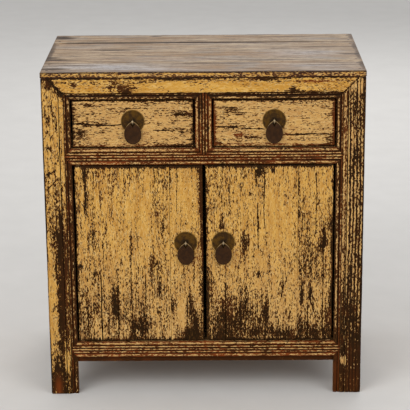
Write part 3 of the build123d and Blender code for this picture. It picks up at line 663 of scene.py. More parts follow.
RIGHT_POST = {
    "loss": 0.5, "comb": 1.15, "pits": 1.6, "blotches": 0.15, "bead": 1.3,
    "mitre": 1.6, "mitre_reach": 1.8, "bleach_and_glare": 0.5,
    "patches": [(375, 815, 30, 16, -0.9), (372, 50, 60, 110, 1.35), (356, 90, 7, 11, -4.4),
                (360, 220, 30, 90, 0.5), (398, 560, 6, 260, 0.6), (398, 300, 8, 160, 0.6),
                (352, 560, 6, 260, -0.3)],
    "red": [(350, 640, 7, 240, 0.3), (380, 25, 30, 60, 0.22)],
    "scratches": [],
}


def front_post(side, wear, seed):
    """One front post with its ridges, pits, worn bead, patches and scratches."""
    left = side == "left"
    origin = (post_low[0] if left else -post_low[0], post_low[1], 0)
    along = end_at(places(0, post_top, POST_STEP, 2.5), np.zeros(len(post_section)), post_tops)
    post = Timber(post_section, along, UPRIGHT if left else UPRIGHT_MIRRORED, origin, seed,
                  loss=wear["loss"])
    across, depth = post.section.T
    post.weather(0.25, 0.5)
    ridge = across / RIDGE_PITCH + 0.35 * wander(seed + 8, post.along / 160)
    ridge = ridge + 0.12 * wander(seed + 9, post.along / 12, across / 7)
    valley = hump(ridge % 1 - 0.5, 0.2) * (0.75 + 0.45 * wander(seed + 10, post.along / 60, ridge // 1))
    on_face = np.clip(across / 4, 0, 1) * np.clip((groove_start - across) / 3, 0, 1) * (depth < INSIDE)
    post.push -= wear["comb"] * valley * on_face
    post.worn += 1.4 * wear["comb"] * valley * on_face
    post.dirt_and_shade += 0.55 * wear["comb"] * valley * on_face
    pits = np.clip(wander(seed + 13, post.along / 4.5, across / 2.4), 0, 1)
    blotches = wander(seed + 14, post.along / 14, across / 8)
    post.worn += (wear["pits"] * pits + wear["blotches"] * blotches) * on_face
    on_bead = (across > bead_start) * (depth < INSIDE)
    seam = hump(across - bead_start - 0.3 * POST_BEAD, 1.3) * (0.7 + 0.5 * pits)
    post.worn += wear["bead"] * (seam + pits + 0.3) * on_bead
    post.dirt_and_shade += 0.4 * wear["bead"] * seam * on_bead
    rounded = (across < 0.5 * POST_ARRIS) & (depth < POST_ARRIS)
    post.worn += 0.9 * rounded
    post.dirt_and_shade += 1.0 * rounded
    post.bleach_and_glare += wear["bleach_and_glare"]
    post.nibble(1.1, 26)
    post.ease_ends(2.5)
    before = post.worn.copy()
    post.rub(wear["patches"])
    post.worn = np.where(depth > POST_ARRIS, before + SIDE_SHARE * (post.worn - before), post.worn)
    post.rub(wear["red"], "ruddy")
    for start, end in wear["scratches"]:
        post.scratch(start, end, 1.6, 1.8)
    reach = wear["mitre_reach"] * (1 + 0.6 * wander(seed + 7, across / 11))
    post.worn += wear["mitre"] * np.exp(-(post.along[-1] - post.along) / reach)
    post.bare[:] = (depth > INSIDE) & (across > 3)
    fit(f"front_post_{side}", [post.shell()], lacquer_up, "carcass")


front_post("left", LEFT_POST, 11)
front_post("right", RIGHT_POST, 12)

# ---- Mouldings round the openings
# Inner strips beside the posts and under the top rail, the middle and bottom rails and the muntin:
# bars worked with a wide bead beside each opening and thin beads between, let into one another in
# points so that the wide beads meet in mitres. Nearly all paint is gone but on the crests.
WIDE_BEAD = 9.5
THIN_BEAD = 5.6
STRIP_DEPTH = 18.0
SHOULDER_DEPTH = 12.0
NOTCH_ZONE = 27.0            # nothing else is placed so near to the middle of a notch
NOTCH_EDGE = 22.0
NOTCH_FLOOR = 21.0
NOTCH_REACH = NOTCH_ZONE + 3
NOTCH_SLOPE = 0.4            # from the edge of a notch to its floor
STRIP_GAP = 0.15             # between the strips where they meet in mitres
MOULDING_STEP = 4.2
LEVEL = (Z, Y, X)
LEVEL_FROM_TOP = (-Z, Y, X)
lacquer_level = lacquered_wood("ochre_lacquer_level", GRAIN_LEVEL)
rail_low, rail_high = corners("middle_front_rail")
bottom_low, bottom_high = corners("bottom_front_rail")
opening_half = corners("lower_strip")[1][0]
post_inner = -post_high[0]
strip_width = post_inner - opening_half
rail_half = (rail_high[2] - rail_low[2]) / 2
moulding_front = rail_low[1]


def moulding_face(beads):
    """Face of a bar whose beads lie side by side with grooves between them."""
    points = []
    start = 0.0
    for number, width in enumerate(beads):
        if number:
            points += [(start, GROOVE_DEPTH), (start + GROOVE_WIDTH, GROOVE_DEPTH)]
            start += GROOVE_WIDTH
        points += bead_points(start, width, 9 if width > 7 else 7).tolist()
        start += width
    return np.array(points)


def moulding_section(beads, thickness, side_depths):
    """Outline of a bar with those beads, and points at those depths down its two sides."""
    face = moulding_face(beads)
    return closed_section(face, face[-1, 0], thickness, side_depths, side_depths, 5)


def cut_notch(bar, nominal, centre, half_widths):
    """Sinks the face where the point of another moulding is let in; half widths line by line."""
    away = np.abs(nominal - centre)
    near = away < NOTCH_REACH
    marks = np.array([-NOTCH_REACH, -NOTCH_EDGE, -NOTCH_FLOOR, NOTCH_FLOOR, NOTCH_EDGE, NOTCH_REACH])
    for column, half in enumerate(half_widths):
        half = max(half, 1.0)
        wanted = np.array([-NOTCH_REACH, -half, NOTCH_SLOPE - half, half - NOTCH_SLOPE, half, NOTCH_REACH])
        bar.along[near, column] = np.interp(nominal[near], centre + marks, centre + wanted)
    shallow = (bar.section[:, 1] < SHOULDER_DEPTH) & (np.array(half_widths) > 1.2)
    floor_depth = SHOULDER_DEPTH + 0.03 * bar.section[:, 1]
    in_notch = away < NOTCH_EDGE - 0.1
    bar.sunk += np.where(in_notch[:, None] & shallow[None, :], floor_depth - bar.section[:, 1], 0)
    at_edge = np.abs(away - NOTCH_EDGE) < 0.1
    bar.worn += 1.0 * at_edge[:, None] * shallow


def moulding(section, nominal, starts, ends, directions, origin, seed, loss, ruddy, notches=()):
    """One moulded bar; returns its timber, still to be rubbed and finished."""
    bar = Timber(section, end_at(nominal, starts, ends), directions, origin, seed, loss=loss, ruddy=ruddy)
    for centre, half_widths in notches:
        cut_notch(bar, nominal, centre, half_widths)
    depth = section[:, 1]
    bar.weather(0.22, 0.2, pitch=3.0)
    bar.push -= 0.35 * np.clip(wander(seed + 4, bar.along / 23, bar.girth / 6), 0, 1) * (depth < BEAD_SINK)
    flank = np.clip((depth - 0.15) / 1.2, 0, 1) * (depth < INSIDE)
    bar.worn += 1.9 * flank
    bar.ruddy *= np.clip(1 + 1.2 * wander(seed + 9, bar.along / 15, bar.girth / 5), 0, 2)
    bar.dirt_and_shade += 0.75 * flank
    bar.bleach_and_glare += 0.55
    bar.ease_ends(0.4)
    bar.worn += 1.2 * np.exp(-bar.from_end() / 1.5)
    bar.bare_behind(INSIDE + 6)
    return bar


strip_section = moulding_section([THIN_BEAD, WIDE_BEAD], STRIP_DEPTH, [4.5, 8, 11.8, 12.2, 15])
strip_across = strip_section[:, 0]
strip_notch = rail_half - strip_width + strip_across
middle_rail_centre = (rail_low[2] + rail_high[2]) / 2
bottom_rail_centre = (bottom_low[2] + bottom_high[2]) / 2
# loss of paint all over, then patches of wear and of red lacquer
STRIP_WEAR = {
    "left": (1.5, [(-331, 700, 5, 70, -0.3), (-331, 300, 4, 140, -0.25)], [(-342, 350, 5, 500, 0.16)]),
    "right": (1.35, [(331, 470, 5, 330, -0.3), (331, 230, 5, 60, -0.35), (335, 60, 12, 90, 1.6)],
              [(343, 350, 4, 500, 0.3), (335, 40, 9, 60, 0.3)]),
}
strip_places = places(0, top_rail_base, MOULDING_STEP, 0.5, (middle_rail_centre, bottom_rail_centre))
strip_bottoms = np.zeros(len(strip_section))
strip_tops = top_rail_base - STRIP_GAP - strip_across
strip_notches = ((middle_rail_centre, strip_notch), (bottom_rail_centre, strip_notch))
for seed, (side, (loss, patches, red)) in enumerate(STRIP_WEAR.items(), start=21):
    way, place = (UPRIGHT, -post_inner) if side == "left" else (UPRIGHT_MIRRORED, post_inner)
    strip = moulding(strip_section, strip_places, strip_bottoms, strip_tops, way,
                     (place, moulding_front, 0), seed, loss, 0.08, strip_notches)
    strip.rub(patches)
    strip.rub(red, "ruddy")
    fit(f"inner_strip_{side}", [strip.shell()], lacquer_up, "carcass")

top_strip = moulding(strip_section, places(-post_inner, post_inner, MOULDING_STEP, 0.5, (0,)),
                     strip_across - post_inner + STRIP_GAP, post_inner - strip_across - STRIP_GAP,
                     LEVEL_FROM_TOP, (0, moulding_front, top_rail_base), 23, 1.5, 0.05, ((0, strip_notch),))
top_strip.rub([(782, -190, 5, 110, -0.3), (782, 150, 5, 150, -0.4)])
fit("inner_strip_top", [top_strip.shell()], lacquer_level, "carcass")

rail_section = moulding_section([WIDE_BEAD, THIN_BEAD, THIN_BEAD, THIN_BEAD, WIDE_BEAD],
                                rail_high[1] - rail_low[1], [4.5, 8, 11.8, 12.2, 16, 20, 25])
rail_across = rail_section[:, 0]
from_rail_edge = np.minimum(rail_across, 2 * rail_half - rail_across)
front_zone = rail_section[:, 1] < SHOULDER_DEPTH
rail_ends = np.where(front_zone, opening_half + np.minimum(strip_width, from_rail_edge), post_inner)
muntin_notch = rail_half - (2 * rail_half - rail_across)
# seed, loss of paint, redness, notches, height of the middle, then patches of wear and of red lacquer
RAILS = {
    "middle_front_rail": (24, 0.85, 0.36, [(0.0, muntin_notch)], middle_rail_centre,
                          [(651, -120, 6, 260, -0.3), (624, 0, 5, 500, 0.5), (614, 60, 5, 500, 0.25),
                           (633, 0, 4, 400, 0.2)],
                          [(618, -235, 6, 32, 1.2), (634, 0, 7, 400, 0.25)]),
    "bottom_front_rail": (25, 0.85, 0.42, [], bottom_rail_centre,
                          [(138, -100, 5, 220, -0.15), (104, 0, 7, 500, 0.3), (120, 60, 9, 260, 0.15)],
                          [(104, 0, 8, 400, 0.3)]),
}
for name, (seed, loss, ruddy, notches, centre, patches, red) in RAILS.items():
    nominal = places(-post_inner, post_inner, MOULDING_STEP, 0.5, [notch[0] for notch in notches])
    rail = moulding(rail_section, nominal, -rail_ends, rail_ends, LEVEL,
                    (0, moulding_front, centre - rail_half), seed, loss, ruddy, notches)
    rail.rub(patches)
    rail.rub(red, "ruddy")
    fit(name, [rail.shell()], lacquer_level, "carcass")

drawer_opening_top = top_rail_base - strip_width
tip = rail_half - np.abs(rail_across - rail_half)            # the muntin ends in a point at either end
muntin_starts = np.where(front_zone, rail_high[2] - tip, rail_high[2])
muntin_ends = np.where(front_zone, drawer_opening_top + np.minimum(strip_width, tip), top_rail_base)
muntin = moulding(rail_section, places(rail_high[2], top_rail_base, MOULDING_STEP, 0.5), muntin_starts,
                  muntin_ends, UPRIGHT, (-rail_half, moulding_front, 0), 26, 1.3, 0.35)
muntin.rub([(-16, 720, 4, 70, -0.6), (16, 700, 4, 60, -0.6)])
fit("drawer_muntin", [muntin.shell()], lacquer_up, "carcass")

# ---- Top front rail and lower strip
# The flat rail under the top boards, mitred into the posts, keeps most of its paint. The thin strip
# under the bottom rail is set back and shows only its dark red lacquer.
LOWER_EDGE = 2.0
CRACK_ZONE = 1.9             # the lines of points in a face make room for a crack, and these stand in it
CRACK_LINES = (-1.7, -0.9, -0.35, 0, 0.35, 0.9, 1.7)
top_rail_high = corners("top_front_rail")[1]
rail_height = post_top - top_rail_base
rail_thickness = top_rail_high[1] - post_low[1]


def eased_face(width, near_arris, far_arris, spacing, cracks=()):
    """Flat face with rounded edges; the points gather at the cracks."""
    across = run((near_arris, 0), (width - far_arris, 0), spacing)[1:, 0]
    cracks = sorted(set(cracks))
    for line in cracks:
        across = across[np.abs(across - line) > CRACK_ZONE]
    gathered = [line + offset for line in cracks for offset in CRACK_LINES]
    across = np.sort(np.concatenate([across, gathered]))
    flat = np.column_stack([across, np.zeros(len(across))])
    return np.vstack([arc((near_arris, near_arris), near_arris, 180, 270), flat,
                      arc((width - far_arris, far_arris), far_arris, 270, 360)])


side_depths = [5, 9.5, *mitre_depths, 19, 25]
top_rail_section = closed_section(eased_face(rail_height, LOWER_EDGE, 0.8, 1.3), rail_height,
                                  rail_thickness, side_depths, side_depths, 5)
top_rail_ends = np.where(top_rail_section[:, 1] < MITRE_DEPTH,
                         post_inner - MITRE_GAP + top_rail_section[:, 0], post_inner)
top_rail = Timber(top_rail_section,
                  end_at(places(-post_inner, post_inner, 3.6, 0.6), -top_rail_ends, top_rail_ends),
                  LEVEL, (0, post_low[1], top_rail_base), 31, loss=0.3)
top_rail.weather(0.2, 0.45)
top_rail.nibble(0.9, 30)
top_rail.ease_ends(0.6)
top_rail.rub([(835, 0, 2.8, 2000, 2.2), (796, 0, 2.0, 2000, 1.2), (823, -330, 5, 60, 0.3),
              (813, -205, 9, 36, 0.8), (808, -180, 6, 12, 0.7), (800, -200, 3, 30, 0.8),
              (816, -317, 4, 7, 1.9), (831, 150, 4, 28, 1.6), (829, -60, 3, 60, 0.7), (811, -226, 4, 8, 1.3),
              (812, -202, 4, 9, 1.3), (800, -190, 4, 12, 1.6), (810, -169, 3, 8, 1.0),
              (823, -132, 1.6, 22, 1.0), (814, 107, 1.6, 10, 1.3), (805, 220, 7, 12, 1.7),
              (822, 234, 3, 7, 1.3), (799, 240, 3, 70, 0.8), (806, -5, 4, 7, 0.9),
              (824, 280, 3, 46, 0.9), (810, -120, 11, 220, -0.5), (809, 180, 11, 220, -0.4)])
top_rail.rub([(835, 0, 1.6, 2000, 0.6)], "dirt_and_shade")
top_rail.rub([(824, 280, 4, 50, 0.8), (816, -317, 5, 8, 0.15), (811, -205, 12, 45, 0.15)], "ruddy")
at_left = top_rail.along < 0                     # the mitre at the left has opened wider
mitre_reach = np.where(at_left, 3.6, 1.6)
top_rail.worn += np.where(at_left, 2.4, 1.5) * np.exp(-top_rail.from_end() / mitre_reach)
top_rail.bare_behind(INSIDE + 6)
fit("top_front_rail", [top_rail.shell()], lacquer_level, "carcass")


def plain_board(node, directions, seed, spacing, step, arris=0.8, loss=0.0, ruddy=0.0, span=None,
                cracks=(), coarse=6.0):
    """A squared board that fills its frame piece, its face turned outward; span limits its length."""
    low, high = corners(node)
    origin, far = (sum(np.where(direction * sign > 0, low, 0) + np.where(direction * sign < 0, high, 0)
                       for direction in directions) for sign in (1, -1))
    width, thickness, length = (abs((far - origin) @ direction) for direction in directions)
    grain_axis = int(np.argmax(np.abs(directions[2])))
    start, end = span or (low[grain_axis], high[grain_axis])
    origin[grain_axis] = 0
    across_axis = int(np.argmax(np.abs(directions[0])))
    lines = [round(abs(crack[0] - origin[across_axis]), 3) for crack in cracks]
    side_depths = np.arange(arris + 2.5, thickness - 0.8, 4.0)
    section = closed_section(eased_face(width, arris, arris, spacing, lines), width, thickness,
                             side_depths, side_depths, coarse)
    board = Timber(section, places(start, end, step, arris), directions, origin, seed, loss=loss,
                   ruddy=ruddy)
    board.weather(0.15, 0.3, pitch=2.4 * spacing)
    board.ease_ends(arris)
    for crack in cracks:
        board.crack(*crack)
    return board


lower_strip = plain_board("lower_strip", LEVEL, 32, 1.6, 5, loss=2.2, ruddy=0.15)
lower_strip.bare_behind(INSIDE + 6)
fit("lower_strip", [lower_strip.shell()], lacquer_level, "carcass")

# ---- Sides
# Each side is a panel of three boards glued edge to edge, held in grooves of the posts and of two
# rails. The same paint as in front, worn more towards the floor; bare wood inside.
SIDE_JOINTS = (-95.0, 62.0)
LEFT_PANEL, RIGHT_PANEL = (Y, X, Z), (Y, -X, Z)
SIDES = {"left": (40, LEFT_PANEL, (Z, X, Y), -10), "right": (41, RIGHT_PANEL, (Z, -X, Y), -14)}
lacquer_deep = lacquered_wood("ochre_lacquer_deep", GRAIN_DEEP)
back_post_low, back_post_high = corners("back_post_left")
between_posts = (post_high[1], back_post_low[1])
for side, (seed, panel_way, rail_way, crack_place) in SIDES.items():
    name = f"side_panel_{side}"
    low, high = corners(name)
    cracks = [(place, low[2] - 20, high[2] + 20, 0.8, 0.9) for place in SIDE_JOINTS]
    cracks += [(crack_place, 420, 640, 0.7, 2.0), (120, 150, 300, 0.8, 2.4)]
    panel = plain_board(name, panel_way, seed, 3.0, 5.5, loss=0.25, cracks=cracks, coarse=9)
    panel.rub([(0, 120, 260, 90, 0.9), (-150, 300, 40, 120, 0.5), (60, 380, 30, 70, 0.8),
               (130, 560, 40, 100, 0.5), (-40, 600, 80, 110, -0.4), (0, 800, 300, 20, 0.7)])
    panel.rub([(0, 150, 200, 60, 0.3)], "ruddy")
    panel.bare_behind()
    fit(name, [panel.shell()], lacquer_up, "carcass")
    for number, (level, loss) in enumerate((("top", 0.1), ("bottom", 0.8)), start=1):
        name = f"{level}_side_rail_{side}"
        rail = plain_board(name, rail_way, seed + 10 * number, 1.8, 4.5, arris=1.5, loss=loss,
                           span=between_posts)
        rail.nibble(0.8, 30)
        rail.rim(0.9, 3)
        rail.bare_behind(8)
        fit(name, [rail.shell()], lacquer_deep, "carcass")

# ---- Back
# Square back posts, painted on their outer faces only, three plain rails and three lying boards in
# grooves. The back was never lacquered: dry, dusty sawn wood.
BACK_WAY = (Z, -Y, X)


def bare_wood(name, turn, tones, roughness):
    """Unpainted wood in three tones."""
    material = bpy.data.materials.new(name)
    tree = empty_tree(material)
    wood = sawn_node(tree, grain_place(tree, turn), tones)
    end_material(tree, wood.outputs["Color"], roughness, wood.outputs["Height"], 0.0004, 0.2)
    return material


DUSTY_TONES = ((142, 116, 88), (118, 92, 66), (74, 55, 38))
# light, middle and dark tone of each board, and where the crack in its upper half begins
BACK_BOARDS = {"top": ((128, 106, 82), (104, 84, 62), (66, 50, 36), -280),
               "middle": ((148, 116, 82), (122, 90, 60), (78, 54, 34), -310),
               "bottom": ((132, 104, 76), (106, 80, 56), (62, 46, 32), -340)}
dusty_level = bare_wood("dusty_wood_level", GRAIN_LEVEL, DUSTY_TONES, 0.85)
wall_side = back_post_high[1] - back_post_low[1] - 1          # from there on across the post
for seed, (side, way) in enumerate((("left", LEFT_PANEL), ("right", RIGHT_PANEL)), start=44):
    name = f"back_post_{side}"
    post = plain_board(name, way, seed, 2.2, 5, arris=2.0, loss=0.35)
    post.nibble(1.0, 30)
    post.rub([(215, 40, 50, 90, 0.9), (220, 450, 30, 60, 0.5)])
    post.bare[:] = (post.section[:, 1] > INSIDE) | (post.section[:, 0] > wall_side)
    fit(name, [post.shell()], lacquer_up, "carcass")

back_span = (back_post_high[0], -back_post_high[0])
for seed, (level, (*tones, crack_start)) in enumerate(BACK_BOARDS.items(), start=46):
    name = f"{level}_back_rail"
    rail = plain_board(name, BACK_WAY, seed, 2.5, 6, arris=1.2, span=back_span)
    fit(name, [rail.shell()], dusty_level, "carcass")
    name = f"back_board_{level}"
    low, high = corners(name)
    middle = (low[2] + high[2]) / 2
    cracks = [(middle + 21, crack_start, 60, 0.8, 2.0), (middle - 33, 90, 350, 0.8, 2.2)]
    board = plain_board(name, BACK_WAY, seed + 10, 3.2, 7, arris=1.6, cracks=cracks, coarse=9)
    wood = bare_wood(f"dusty_wood_{level}", GRAIN_LEVEL, tones, 0.85)
    fit(name, [board.shell()], wood, "carcass")

# ---- Inside of the carcass
# The floor of the cupboard and the runners that carry and guide the drawers, of plain sawn wood.
# Their shapes are as the frame has them; only the wood is added.
sawn_level = bare_wood("sawn_wood_level", GRAIN_LEVEL, SAWN_TONES, 0.8)
sawn_deep = bare_wood("sawn_wood_deep", GRAIN_DEEP, SAWN_TONES, 0.8)


def dress_node(name, material):
    """Puts a material on a frame piece that is shown as it is."""
    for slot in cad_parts[name].material_slots:
        slot.material = material


dress_node("cupboard_floor", sawn_level)
for side in ("left", "right", "middle"):
    dress_node(f"drawer_runner_{side}", sawn_deep)

# ---- Top
# Three boards nailed down over the frame. Their upper faces were scrubbed to grey-brown wood with
# long dark streaks; their front and side edges keep mottled paint. Hand-made iron nails hold them.
TOP_ARRIS = 2.0
TOP_WAY = (Y, -Z, X)
TOP_SPACING = 2.0
TOP_LIGHT = (181, 159, 132)
TOP_MIDDLE = (132, 109, 84)
TOP_BROWN = (142, 108, 72)
TOP_GREY = (140, 130, 120)
# pale bluish grey of the painted reflection on the top
TOP_GLARE_GREY = (178, 174, 174)
TOP_DUSTY = (120, 104, 88)
TOP_DARK = (80, 61, 44)
TOP_BLACK = (44, 27, 14)


def scrubbed_top_material():
    """Scrubbed wood where the bare mark is set, and aged lacquer elsewhere."""
    material = bpy.data.materials.new("scrubbed_top")
    tree = empty_tree(material)
    grain = grain_place(tree, GRAIN_LEVEL)
    lacquer = lacquer_node(tree, grain)
    worn = mark(tree, "worn")
    streaks = flecks(tree, grain, 10, 140, detail=5, roughness=0.7)
    bands = flecks(tree, grain, 34, 480)
    lines = flecks(tree, grain, 3.6, 90, detail=2)
    fibres = flecks(tree, grain, 1.6, 20, detail=3, roughness=0.6)
    blots = flecks(tree, grain, 38, 130, detail=3)
    grit = flecks(tree, grain, 8, 18, detail=3, roughness=0.7)
    wood = blend(tree, remap(tree, streaks, 0.38, 0.58), linear(TOP_MIDDLE), linear(TOP_LIGHT))
    wood = blend(tree, remap(tree, bands, 0.45, 0.66, 0.0, 0.65), wood, linear(TOP_BROWN))
    wood = blend(tree, remap(tree, blots, 0.5, 0.7, 0.0, 0.75), wood, linear(TOP_GREY))
    # pale bluish patches where the mark is set: a painted reflection of the light on the top
    bleach_and_glare = calc(tree, "MULTIPLY", mark(tree, "bleach_and_glare"), remap(tree, streaks, 0.35, 0.6, 0.25, 1.0))
    wood = blend(tree, bleach_and_glare, wood, linear(TOP_GLARE_GREY))
    wood = blend(tree, remap(tree, grit, 0.5, 0.66, 0.0, 0.6), wood, linear(TOP_DUSTY))
    wood = blend(tree, remap(tree, fibres, 0.54, 0.7, 0.0, 0.7), wood, linear(TOP_DARK))
    wood = blend(tree, remap(tree, lines, 0.56, 0.66, 0.0, 0.9), wood, linear(TOP_DARK))
    dirt = calc(tree, "MULTIPLY_ADD", streaks, 1.6, worn)
    dirt = calc(tree, "MULTIPLY_ADD", lines, 0.8, dirt)
    wood = blend(tree, remap(tree, dirt, 1.38, 1.75, 0.0, 0.9), wood, linear(TOP_DARK))
    wood = blend(tree, remap(tree, dirt, 1.8, 2.2, 0.0, 0.8), wood, linear(TOP_BLACK))
    # painted shade: near black down in cracks and in the gaps of the joints
    wood = blend(tree, remap(tree, mark(tree, "proud"), -1.4, -0.3, 0.6, 0.0), wood, linear(TOP_BLACK))
    scrubbed = remap(tree, calc(tree, "MULTIPLY_ADD", fibres, 0.5, mark(tree, "bare")), 0.68, 0.8)
    colour = blend(tree, scrubbed, lacquer.outputs["Color"], wood)
    roughness = calc(tree, "MULTIPLY_ADD", scrubbed, 0.12, lacquer.outputs["Roughness"])
    height = calc(tree, "MULTIPLY_ADD", streaks, 0.5, calc(tree, "MULTIPLY", fibres, 0.7))
    end_material(tree, colour, roughness, height, 0.0004, 0.2)
    return material


scrubbed_top = scrubbed_top_material()
top_front = corners("top_board_front")[0][1]
front_joint = corners("top_board_middle")[0][1]
back_joint = corners("top_board_back")[0][1]
# for each board its cracks (place back from the front edge of the top, two ends from left to right,
# half width, depth), then its worn patches and its pale bluish ones, a painted reflection of the light on
# the scrubbed wood (place back and along, half sizes, amount)
TOP_BOARDS = {
    "front": (61, [(41, -402, -338, 0.9, 3.5), (83, 366, 402, 0.9, 3), (24, 378, 402, 0.8, 2.5)],
              [(41, -372, 9, 30, 1.0), (20, -250, 5, 130, 0.35), (100, 60, 6, 160, 0.3),
               (60, 394, 60, 6, 0.5), (78, -330, 5, 60, 0.6), (4, 0, 4, 600, 0.5)],
              [(66, -250, 34, 150, 1.1), (34, -150, 14, 120, 0.6), (60, 270, 34, 110, 0.6),
               (20, 330, 20, 60, 0.5), (16, -100, 10, 260, 0.5)]),
    "middle": (62, [(150, -402, -346, 0.9, 4), (176, -402, -368, 0.8, 3), (273, -275, -190, 0.8, 1.6),
                    (205, 352, 402, 0.9, 3), (318, 372, 402, 0.9, 3), (240, -402, -380, 0.8, 2.5)],
               [(150, -378, 8, 32, 1.1), (176, -388, 7, 18, 1.0), (300, 300, 14, 80, 0.4),
                (273, -232, 7, 44, 0.9), (240, 394, 130, 6, 0.5), (240, -394, 120, 6, 0.6),
                (205, 372, 7, 26, 0.8), (140, 120, 5, 120, 0.4)],
               [(215, 260, 50, 100, 0.7), (150, -60, 20, 160, 0.35), (310, -330, 24, 60, 0.4)]),
    "back": (63, [(433, -402, -350, 0.9, 4), (452, -402, -366, 0.8, 3), (410, 360, 402, 0.9, 3)],
             [(472, 0, 4, 500, 0.5), (433, -376, 12, 28, 0.9), (452, -384, 8, 20, 0.9),
              (456, -130, 6, 14, 0.9), (430, 394, 60, 6, 0.4), (440, 200, 5, 90, 0.5)], []),
}
# where the joint before the back board has opened: place along it, half length and width
JOINT_GAPS = [(-210, 75, 1.7), (-38, 55, 1.5), (80, 60, 1.5), (-320, 30, 0.8), (230, 60, 0.6)]
RAIL_JOINT = 15.2            # how far down the edge of a board the dirt of the joint below it sits


def from_top_front(marks):
    """The same cracks or patches, placed in the frame."""
    return [(top_front + place, *rest) for place, *rest in marks]


for board_name, (seed, cracks, patches, bleach_and_glare) in TOP_BOARDS.items():
    name = f"top_board_{board_name}"
    board = plain_board(name, TOP_WAY, seed, TOP_SPACING, 5, arris=TOP_ARRIS, cracks=from_top_front(cracks))
    board.nibble(1.2, 18)
    down = board.section[:, 1]
    on_edge = down > TOP_ARRIS
    board.worn *= on_edge
    board.worn += np.where(on_edge, 0.15, -0.2)
    board.ruddy += 0.12 * on_edge
    board.rub(from_top_front(patches))
    board.rub(from_top_front(bleach_and_glare), "bleach_and_glare")
    board.rim(0.2, 4)
    across, along = board.spots()
    from_joint = across - back_joint
    opened = sum(size * hump(along - place, half) for place, half, size in JOINT_GAPS)
    board.sideways += np.sign(from_joint + 1e-6) * opened * 0.5 * hump(from_joint, 1.2)
    board.sunk += 1.1 * opened * hump(from_joint, 2.2) * (down < 6)
    stained = 0.2 + 0.9 * hump(along + 120, 210)
    stained = stained * (1 + 0.7 * wander(64, along / 16, across / 3))
    board.worn += (stained + opened) * hump(from_joint, 6)
    tight = hump(across - front_joint, 5)
    outer = 1 - tight - 0.7 * hump(from_joint, 5)
    board.worn += 1.6 * outer * hump(down - TOP_ARRIS, 1.6) + 1.7 * hump(down - RAIL_JOINT, 2.4)
    board.dirt_and_shade += 1.6 * outer * hump(down - TOP_ARRIS, 1.6) + 0.6 * hump(down - RAIL_JOINT, 1.2)
    board.dirt_and_shade += 0.9 * np.exp(-board.from_end() / 2.5) * on_edge
    board.bare[:] = np.clip(1.15 - down / 1.1 + tight, 0, 1)
    fit(name, [board.shell()], scrubbed_top, "carcass")


METAL_HOLE_SHADE = (20, 12, 5)
NAIL_TONES = ((58, 44, 36), (84, 58, 42), (120, 110, 100))


def worn_metal(name, tones, pit_size, metallic, roughness):
    """Old metal: three tones by patches, brighter where it is rubbed and on the drops' upper rims a painted
    highlight, finely pitted, and dark where a painted shadow is marked.
    """
    material = bpy.data.materials.new(name)
    tree = empty_tree(material)
    spot = put(tree, "ShaderNodeTexCoord").outputs["Object"]
    grain = put(tree, "ShaderNodeMapping", {"Vector": spot, "Scale": MILLIMETRES}).outputs[0]
    patina = flecks(tree, grain, 9, 9, detail=4, roughness=0.6)
    pits = flecks(tree, grain, pit_size, pit_size, detail=3, roughness=0.6)
    colour = blend(tree, remap(tree, patina, 0.38, 0.62), linear(tones[0]), linear(tones[1]))
    rub_and_highlight = calc(tree, "MULTIPLY", remap(tree, mark(tree, "proud"), 0.15, 0.6),
                  remap(tree, pits, 0.35, 0.6, 0.3, 1.0))
    colour = blend(tree, rub_and_highlight, colour, linear(tones[2]))
    # painted shadow where the mesh marks it: round the hole of the plates
    colour = blend(tree, mark(tree, "dirt_and_shade"), colour, linear(METAL_HOLE_SHADE))
    rough = calc(tree, "MULTIPLY_ADD", pits, 0.3, roughness)
    end_material(tree, colour, rough, pits, 0.0003, 0.25, metallic)
    return material


dress_node("top_nails", worn_metal("nail_iron", NAIL_TONES, 1.4, 0.6, 0.45))

# ---- Doors
# Each door is two planks glued edge to edge and held flat by two battens let into the back. The plank
# beside the post is turned at top and bottom into pivots, which stand in sockets of the rails.
DOOR_SPACING = 2.1
DOOR_STEP = 4.4
DOOR_ARRIS = 2.5
GLUE_ARRIS = 0.5
PIVOT_RADIUS = 6.0
PIVOT_SIDES = 28
door_low, door_high = corners("door_left_meeting_plank")
